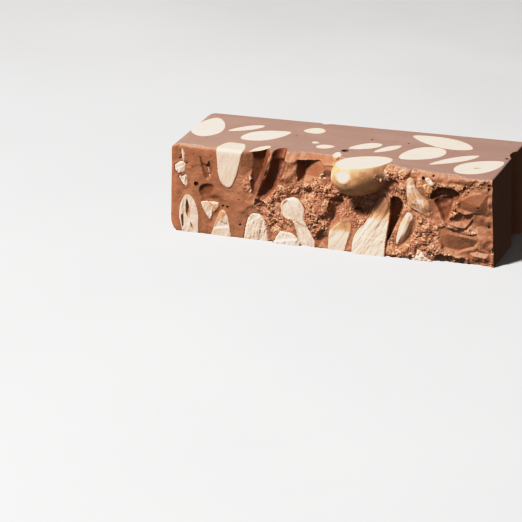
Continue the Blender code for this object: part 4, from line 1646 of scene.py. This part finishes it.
@dataclass
class Block:
    """The chocolate itself."""

    snapped: Break = field(default_factory=Break)
    left_base_radius: float = 5.2
    left_top_radius: float = 1.7
    left_back_radius: float = 2.6
    right_back_radius: float = 1.6
    right_top_radius: float = 0.35
    cell: float = 2.4  # of the cast faces
    fine_cell: float = 0.21  # of the break, upwards
    heights: Pair = (-2.0, 36.0)  # between which the break is made
    columns: tuple[Point, ...] = (  # of the break: from, to, cell
        (-64.0, -50.6, 0.4), (-50.6, -42.0, 0.22), (-42.0, -34.0, 0.42), (-34.0, 64.0, 0.21),
    )
    bubbles: tuple[tuple[Point, float], ...] = (  # middle and diameter of the largest ones that were cut open
        ((1.6, -6.9, top_height(1.6) - 0.6), 2.9),
        ((-50.2, BREAK_Y + 0.4, 18.8), 2.0),
        ((34.2, BREAK_Y + 1.6, 29.6), 1.9),
        ((-14.5, 20.6, top_height(-14.5)), 3.4),
    )
    pits: tuple[Point, ...] = (  # x, z and diameter of the small holes in the break
        (-53.9, 26.2, 0.7), (-51.6, 25.0, 0.6), (-40.2, 11.3, 1.1), (-38.4, 11.2, 1.1), (-33.6, 5.1, 1.0),
        (0.7, 27.9, 1.1), (49.7, 28.0, 1.5), (51.0, 26.7, 0.8), (58.2, 29.8, 1.2), (58.2, 28.4, 1.2),
        (54.8, 21.8, 0.9), (58.4, 14.6, 1.1), (48.0, 26.9, 0.8), (55.6, 30.2, 0.7), (38.0, 31.0, 1.0),
        (-34.0, 14.5, 0.6), (-51.0, 30.0, 0.5),
    )
    top_pits: tuple[Point, ...] = (  # x, y and diameter of those in the upper saw cut
        (58.0, 4.0, 1.4), (7.0, 8.0, 1.0), (0.9, -7.5, 1.2), (-20.0, 3.0, 0.6), (20.5, 8.5, 0.8),
    )
    flute: tuple[float, float, float, float] = (64.4, 9.5, 6.4, 1.5)  # x, y, radius above, extra below
    reach_past: float = 8.0  # how far a cutter stands past what it cuts

    def edge_radius(self, ends: list[Vector]) -> float:
        """How round the mould left the edge between two corners.

        Args:
            ends: the corners.

        Returns:
            The radius, 0 where the saw left the edge sharp.
        """
        left, right = (all(end.x * side > 0 for end in ends) for side in (-1, 1))
        back = all(end.y > 0 for end in ends)
        low, high = (all((end.z > 1) is up for end in ends) for up in (False, True))
        if left and not back:
            return self.left_base_radius if low else self.left_top_radius if high else 0.0
        if left:
            return self.left_back_radius
        if right:
            return self.right_back_radius if back else self.right_top_radius if high else 0.0
        return 0.0

    def cast(self) -> Object:
        """The block as it left the mould and the saw.

        Returns:
            A closed box with rounded edges, a grid of faces, and its sawn and moulded faces told apart.
        """
        bpy.ops.mesh.primitive_cube_add(size=2.0)
        block = name_last("chocolate_block")
        corners = block.data.vertices
        for vertex in corners:
            right, back, up = (value > 0 for value in vertex.co)
            x = (TOP_HALF_LENGTH if up else BASE_HALF_LENGTH) * (1 if right else -1)
            slant = (x / BASE_HALF_LENGTH + 1) / 2
            y = BACK_LEFT_Y + (BACK_RIGHT_Y - BACK_LEFT_Y) * slant if back else CAST_FRONT_Y
            vertex.co = (x, y, top_height(x) if up else 0.0)
        weights = block.data.attributes.new("bevel_weight_edge", "FLOAT", "EDGE")
        for edge in block.data.edges:
            ends = [corners[index].co for index in edge.vertices]
            weights.data[edge.index].value = self.edge_radius(ends) / self.left_base_radius
        apply_modifier(block, "BEVEL", limit_method="WEIGHT", width=self.left_base_radius, segments=9)
        spans = ((0, -BASE_HALF_LENGTH, BASE_HALF_LENGTH), (1, CAST_FRONT_Y, BACK_RIGHT_Y), (2, 0.0, HEIGHT))
        cuts = [(axis, place) for axis, *span in spans for place in self.places_between(*span)]
        edit_all(block, *(self.slice_step(axis, place) for axis, place in cuts))
        dress(block, *SLOT_SKINS)
        for face in block.data.polygons:
            sawn = face.normal.z > 0.6 or face.normal.z < -LEVEL
            face.material_index = SLOT_SKINS.index(Skin.SAWN if sawn else Skin.MOULDED)
        self.settle_unevenly(block)
        return block

    def places_between(self, low: float, high: float) -> Array:
        """Where the cast faces are divided."""
        return np.arange(low + self.cell / 2, high, self.cell)

    @staticmethod
    def slice_step(axis: int, place: float) -> Callable[[], object]:
        """A cut through the whole block.

        Args:
            axis: the axis that it stands across.
            place: where along that axis.

        Returns:
            The operator, ready to call.
        """
        normal = [0.0, 0.0, 0.0]
        normal[axis] = 1.0
        point = [place * side for side in normal]
        return lambda: bpy.ops.mesh.bisect(plane_co=point, plane_no=normal)

    @staticmethod
    def settle_unevenly(block: Object) -> None:
        """Gives the moulded faces the faint waves of chocolate that shrank in its mould.

        Args:
            block: the cast block.
        """
        points = read_points(block)
        outs = np.array([vertex.normal for vertex in block.data.vertices])
        sides = np.nonzero(np.abs(outs[:, 2]) <= LEVEL)[0]
        x, y, z = points[sides].T
        waves = -0.08 - 0.1 * rough(x * 0.07, y * 0.07, z * 0.05) - 0.06 * rough(x * 0.3, y * 0.3, z * 0.1)
        points[sides, :2] += waves[:, None] * outs[sides, :2]
        write_points(block, points)

    def snapped_off(self) -> Object:
        """What snapped off the front.

        Returns:
            A slab whose back is the break.
        """
        low, high = self.heights
        columns = np.concatenate([np.arange(left, right - 1e-6, cell) for left, right, cell in self.columns])
        last = len(columns) - 1
        rows = round((high - low) / self.fine_cell)
        bpy.ops.mesh.primitive_grid_add(x_subdivisions=last, y_subdivisions=rows, size=2.0)
        slab = name_last("snapped_off")
        points = read_points(slab)
        xs = columns[np.round((points[:, 0] + 1) / 2 * last).astype(int)]
        zs = low + (high - low) * (points[:, 1] + 1) / 2
        ys, shares = self.snapped.surface(xs, zs)
        write_points(slab, np.column_stack((xs, ys, zs)))
        dress(slab, Skin.BROKEN)
        for skin, share in shares.items():
            store(slab, skin.value, share)
        forward = {"value": (0, 4 * CAST_FRONT_Y, 0)}
        edit_all(slab, lambda: bpy.ops.mesh.extrude_region_move(TRANSFORM_OT_translate=forward))
        points = read_points(slab)
        points[points[:, 1] < 2 * CAST_FRONT_Y, 1] = CAST_FRONT_Y - self.reach_past
        write_points(slab, points)
        face_outwards(slab)
        return slab

    def fluting(self) -> Object:
        """A cutter for the flute that the mould left down the right end.

        Returns:
            A cone without a tip.
        """
        x, y, radius, wider = self.flute
        size = {"radius1": radius + wider, "radius2": radius, "depth": HEIGHT + self.reach_past}
        bpy.ops.mesh.primitive_cone_add(vertices=64, location=(x, y, HEIGHT / 2), **size)
        bpy.ops.object.transform_apply(location=True, rotation=True, scale=True)
        flute = name_last("flute")
        dress(flute, Skin.MOULDED)
        return flute

    def holes(self) -> list[Object]:
        """Air bubbles that the saw and the break opened.

        Returns:
            A cutter for each.
        """
        places = [*self.bubbles]
        xs, zs, sizes = np.array(self.pits).T
        places += zip(zip(xs, self.snapped.surface(xs, zs)[0] + 0.1 * sizes, zs), sizes)
        places += [((x, y, top_height(x) - 0.15 * across), across) for x, y, across in self.top_pits]
        made = []
        for middle, diameter in places:
            size = {"radius": diameter / 2, "location": middle}
            bpy.ops.mesh.primitive_uv_sphere_add(segments=18, ring_count=12, **size)
            bpy.ops.object.transform_apply(location=True, rotation=True, scale=True)
            made.append(name_last("bubble"))
            dress(made[-1], Skin.BROKEN)
            # Inside a bubble the dark print colour is partly its smooth wall and partly painted shade.
            store(made[-1], Skin.PRINT.value, 1.0)
        return made

    def build(self) -> Object:
        """Casts the block, snaps its front off and opens its hollows.

        Returns:
            The chocolate, in millimetres.
        """
        block = self.cast()
        carve(block, [self.snapped_off()])
        carve(block, [self.fluting(), *self.holes()])
        pockets = [cutter for nut in (*SAWN_ALMONDS, *BROKEN_ALMONDS) for cutter in nut.pocket()]
        for cutter in pockets:
            dress(cutter, Skin.BROKEN)
        carve(block, pockets)
        self.shade(block)
        return block

    @staticmethod
    def shade(block: Object) -> None:
        """Smooths the shading, but not across the edges between one kind of surface and another.

        Args:
            block: the chocolate.
        """
        smooth_below(block, 48)
        skins = {}
        for face in block.data.polygons:
            for key in face.edge_keys:
                skins.setdefault(key, set()).add(face.material_index)
        for edge in block.data.edges:
            if len(skins.get(edge.key, ())) > 1:
                edge.use_edge_sharp = True


# ----------------------------------------------------------------------------------------------------- crumbs


@dataclass(frozen=True)
class Patch:
    """An oval patch of the break that crumbs cling to."""

    x: float
    z: float
    half_width: float
    half_height: float
    count: int
    smallest: float
    largest: float


@dataclass(frozen=True)
class Crumbs:
    """Loose grains of one stuff that cling to the break."""

    name: str
    flatness: Pair  # how thick a grain is for its width
    length: Pair  # how long a grain is for its width
    seed: int
    patches: tuple[Patch, ...]
    looks: tuple[tuple[str, float], ...] = ()  # the attributes that their material reads

    SHAPES = 7  # that all grains are copies of
    UNEVEN = (0.62, 1.3)  # how far a corner of one lies from its middle, for that of a ball
    SMALLNESS = 2.2  # how much more often a grain is small than large
    CLEAR = 0.9  # how far from the saw cuts a grain stays, for its size
    STANDS_OUT = 0.22  # how far its middle lies in front of the break, for its thickness
    TIPS = 0.6  # how far a grain may tip from lying flat, in radians
    DEEPEST = -4.0  # a grain that would land further back than this is left out

    def grain_shapes(self, dice: random.Random) -> list[tuple[Array, Array]]:
        """The few grain shapes that all grains are copies of.

        Args:
            dice: the random draw.

        Returns:
            The points and the triangles of each.
        """
        shapes = []
        for _ in range(self.SHAPES):
            bpy.ops.mesh.primitive_ico_sphere_add(subdivisions=1, radius=0.5)
            seed = name_last("grain")
            points = read_points(seed) * np.array([[dice.uniform(*self.UNEVEN)] for _ in seed.data.vertices])
            corners = np.array([face.vertices[:] for face in seed.data.polygons])
            bpy.data.objects.remove(seed)
            shapes.append((points, corners))
        return shapes

    def build(self, ground: BVHTree, material: bpy.types.Material) -> Object:
        """Scatters the grains over the break.

        Args:
            ground: the surface that they lie on.
            material: what they are made of.

        Returns:
            One mesh of all the grains, in millimetres.
        """
        dice = random.Random(self.seed)
        shapes = self.grain_shapes(dice)
        points, corners, total = [], [], 0
        for patch in [patch for patch in self.patches for _ in range(patch.count)]:
            turn, away = dice.uniform(0, 2 * math.pi), math.sqrt(dice.random())
            x = patch.x + patch.half_width * away * math.cos(turn)
            z = patch.z + patch.half_height * away * math.sin(turn)
            size = patch.smallest + (patch.largest - patch.smallest) * dice.random() ** self.SMALLNESS
            flat, long = dice.uniform(*self.flatness), dice.uniform(*self.length)
            spin = [dice.uniform(-most, most) for most in (math.pi, self.TIPS, self.TIPS)]
            shape, faces = dice.choice(shapes)
            if not self.CLEAR * size < z < top_height(x) - self.CLEAR * size:
                continue
            hit, normal, _, _ = ground.ray_cast(Vector((x, CAST_FRONT_Y, z)), Vector((0, 1, 0)))
            if hit is None or hit.y > self.DEEPEST:
                continue
            place = Matrix.Translation(hit + normal * size * flat * self.STANDS_OUT)
            place @= normal.to_track_quat("Z", "X").to_matrix().to_4x4()
            for angle, axis in zip(spin, "ZXY"):
                place @= Matrix.Rotation(angle, 4, axis)
            place @= Matrix.Diagonal((size * long, size, size * flat, 1))
            points.append(shape @ np.array(place.to_3x3()).T + np.array(place.translation))
            corners.append(faces + total)
            total += len(shape)
        mesh = bpy.data.meshes.new(self.name)
        mesh.from_pydata(np.vstack(points).tolist(), [], np.vstack(corners).tolist())
        mesh.update()
        mesh.materials.append(material)
        obj = add_object(self.name, mesh)
        for name, value in self.looks:
            store(obj, name, value)
        return obj


CHOCOLATE_CRUMBS = Crumbs(
    "chocolate_crumbs", flatness=(0.3, 0.8), length=(1.0, 1.8), seed=11,
    patches=(
        Patch(-4.8, 12.5, 4.6, 7.0, 620, 0.2, 0.95), Patch(-7.0, 21.0, 4.0, 3.0, 200, 0.25, 0.9),
        Patch(9.0, 16.0, 8.0, 7.0, 500, 0.25, 0.9), Patch(23.0, 26.0, 5.0, 5.0, 300, 0.2, 0.7),
        Patch(34.0, 10.0, 5.5, 5.0, 420, 0.15, 0.42), Patch(32.0, 2.2, 8.0, 2.4, 220, 0.2, 0.9),
        Patch(54.8, 2.8, 3.8, 2.4, 60, 0.2, 0.6), Patch(-20.5, 9.0, 6.0, 6.0, 320, 0.2, 0.7),
        Patch(37.0, 26.0, 2.5, 4.0, 80, 0.25, 0.8), Patch(-16.0, 20.0, 5.0, 8.0, 220, 0.2, 0.6),
        Patch(8.0, 12.0, 34.0, 14.0, 700, 0.2, 0.7),
    ),
)

ALMOND_CRUMBS = Crumbs(
    "almond_crumbs", flatness=(0.15, 0.4), length=(1.1, 2.4), seed=23,
    patches=(
        Patch(19.3, 28.6, 2.4, 2.4, 34, 0.3, 1.2), Patch(-45.4, 24.0, 0.8, 2.4, 8, 0.3, 0.9),
        Patch(-18.0, 5.0, 4.0, 2.5, 12, 0.2, 0.6), Patch(33.0, 1.8, 6.0, 1.6, 26, 0.3, 1.1),
        Patch(-5.0, 14.0, 4.0, 5.0, 22, 0.2, 0.5), Patch(-3.5, 25.4, 1.2, 0.7, 3, 0.7, 1.2),
        Patch(-29.8, 9.4, 1.8, 0.9, 10, 0.3, 0.9), Patch(56.0, 3.0, 2.5, 1.6, 6, 0.2, 0.6),
        Patch(-30.6, 23.2, 1.5, 0.9, 5, 0.4, 0.8), Patch(-29.6, 18.6, 0.6, 1.6, 4, 0.4, 0.9),
        Patch(-4.0, 24.6, 1.0, 0.8, 3, 0.4, 0.8),
    ),
    looks=(("flesh", 0.9), ("toast_and_shade", 0.25)),
)


# ----------------------------------------------------------------------------------------------------- studio


@dataclass
class Studio:
    """A pale floor, soft light and the camera."""

    photo_side: float = 522.0  # pixels
    focal_length: float = 3000.0  # pixels
    sensor: float = 36.0
    azimuth: float = 19.8388
    elevation: float = 20.7562
    tilt: float = -0.5354
    distance: float = 1082.74
    aim: Point = (-27.88, -12.88, -10.23)
    floor_size: float = 6.0  # metres
    sky: float = 0.075
    sky_colour: Colour = (1.0, 0.96, 0.92)
    white: float = 2.0  # the light that is shown as white
    tones: tuple[Pair, ...] = ((0.05, 0.042), (0.2, 0.2), (0.5, 0.58), (0.75, 0.8), (1.05, 0.89), (1.4, 0.95))

    def camera(self) -> None:
        """Sets up the camera of the photograph."""
        turn, rise = math.radians(self.azimuth), math.radians(self.elevation)
        ahead = Vector((-math.sin(turn) * math.cos(rise), math.cos(turn) * math.cos(rise), -math.sin(rise)))
        eye = (Vector(self.aim) - ahead * self.distance) * MM
        data = bpy.data.cameras.new("camera")
        data.sensor_width = self.sensor
        data.lens = self.sensor * self.focal_length / self.photo_side
        data.clip_start, data.clip_end = 0.05, 20.0
        camera = add_object("camera", data)
        level = ahead.to_track_quat("-Z", "Y").to_matrix().to_4x4()
        tilt = Matrix.Rotation(math.radians(self.tilt), 4, "Z")
        camera.matrix_world = Matrix.Translation(eye) @ level @ tilt
        bpy.context.scene.camera = camera

    def floor(self) -> None:
        """Lays the floor."""
        bpy.ops.mesh.primitive_plane_add(size=self.floor_size)
        floor = name_last("floor")
        floor.data.materials.append(FloorFinish().material())
        floor.visible_diffuse = floor.visible_glossy = False  # so that it throws no light up into the break

    @staticmethod
    def softbox(
        name: str, azimuth: float, elevation: float, distance: float, side: float, watts: float
    ) -> Object:
        """Hangs a square lamp that looks at the block.

        Args:
            name: the lamp's name.
            azimuth: where it hangs, from straight in front towards the right, in degrees.
            elevation: how high, in degrees.
            distance: how far, in metres.
            side: its size, in metres.
            watts: its power.

        Returns:
            The lamp.
        """
        turn, rise = math.radians(azimuth), math.radians(elevation)
        way = Vector((math.sin(turn) * math.cos(rise), -math.cos(turn) * math.cos(rise), math.sin(rise)))
        data = bpy.data.lights.new(name, "AREA")
        data.size, data.energy = side, watts
        lamp = add_object(name, data)
        facing = way.to_track_quat("Z", "Y").to_matrix().to_4x4()
        lamp.matrix_world = Matrix.Translation(way * distance) @ facing
        return lamp

    def light(self) -> None:
        """Hangs the lamps and dims the room."""
        self.softbox("key", azimuth=-36, elevation=51, distance=1.0, side=0.15, watts=18.5)
        self.softbox("fill", azimuth=-4, elevation=10, distance=1.8, side=1.0, watts=4.8)
        back = self.softbox("back", azimuth=206, elevation=8, distance=1.8, side=1.0, watts=3.2)
        back.visible_glossy = False  # so that the sawn top doesn't mirror it
        world = bpy.data.worlds.new("room")
        world.use_nodes = True
        sky = world.node_tree.nodes["Background"]
        sky.inputs["Color"].default_value = (*self.sky_colour, 1.0)
        sky.inputs["Strength"].default_value = self.sky
        bpy.context.scene.world = world

    def develop(self) -> None:
        """Gives the picture the soft highlights and the deeper shade of a photograph."""
        view = bpy.context.scene.view_settings
        view.view_transform = "Standard"
        view.use_curve_mapping = True
        mapping = view.curve_mapping
        mapping.white_level = (self.white, self.white, self.white)
        curve = mapping.curves[3]
        curve.points[0].location, curve.points[1].location = (0.0, 0.0), (1.0, 1.0)
        for light, shown in self.tones:
            curve.points.new(light / self.white, shown)
        mapping.update()

    def build(self) -> None:
        """Sets the whole studio up."""
        self.floor()
        self.light()
        self.develop()
        self.camera()


# ------------------------------------------------------------------------------------------------------- main


def ground_of(*objects: Object) -> BVHTree:
    """The joint surface of several objects, for dropping crumbs on.

    Args:
        objects: their meshes count as one.

    Returns:
        A tree of their faces.
    """
    points, faces = [], []
    for obj in objects:
        start = len(points)
        points += [vertex.co.copy() for vertex in obj.data.vertices]
        faces += [[start + index for index in face.vertices] for face in obj.data.polygons]
    return BVHTree.FromPolygons(points, faces)


def build_almonds(family: str, nuts: list[Nut], material: bpy.types.Material) -> list[Object]:
    """Makes the almonds of one kind.

    Args:
        family: what their names begin with.
        nuts: the almonds.
        material: what they are made of.

    Returns:
        The object of each, in millimetres.
    """
    made = []
    for number, nut in enumerate(nuts, start=1):
        obj = nut.build(f"{family}_{number:02d}")
        obj.data.materials.clear()
        obj.data.shade_smooth()
        obj.data.materials.append(material)
        smooth_below(obj, 40)
        made.append(obj)
    return made


def main() -> None:
    """Builds the block, its almonds and its crumbs, and sets up the studio."""
    logging.basicConfig(level=logging.INFO, format="%(message)s")
    finishes = {finish.skin: finish for finish in CHOCOLATE_FINISHES}
    looks = {skin: finishes[skin].material() for skin in (Skin.SAWN, Skin.MOULDED, Skin.CRUMBLY)}
    finishes[Skin.BROKEN].material(*(finishes[skin] for skin in BLENDED_SKINS))
    almond = AlmondFinish().material()

    block = Block().build()
    sawn_almonds = build_almonds("sawn_almond", SAWN_ALMONDS, almond)
    broken_almonds = build_almonds("broken_almond", BROKEN_ALMONDS, almond)
    crumbs = CHOCOLATE_CRUMBS.build(ground_of(block), looks[Skin.CRUMBLY])
    splinters = ALMOND_CRUMBS.build(ground_of(block, *broken_almonds), almond)

    finish_piece(block, Slot.CHOCOLATE, "chocolate")
    for nut, obj in zip((*SAWN_ALMONDS, *BROKEN_ALMONDS), (*sawn_almonds, *broken_almonds)):
        finish_piece(obj, Slot.ROAST_ALMOND if nut.node in ROAST_NODES else Slot.CUT_ALMOND, nut.node)
    finish_piece(crumbs, Slot.CHOCOLATE)
    finish_piece(splinters, Slot.CUT_ALMOND)

    Studio().build()


if __name__ == "__main__":
    main()
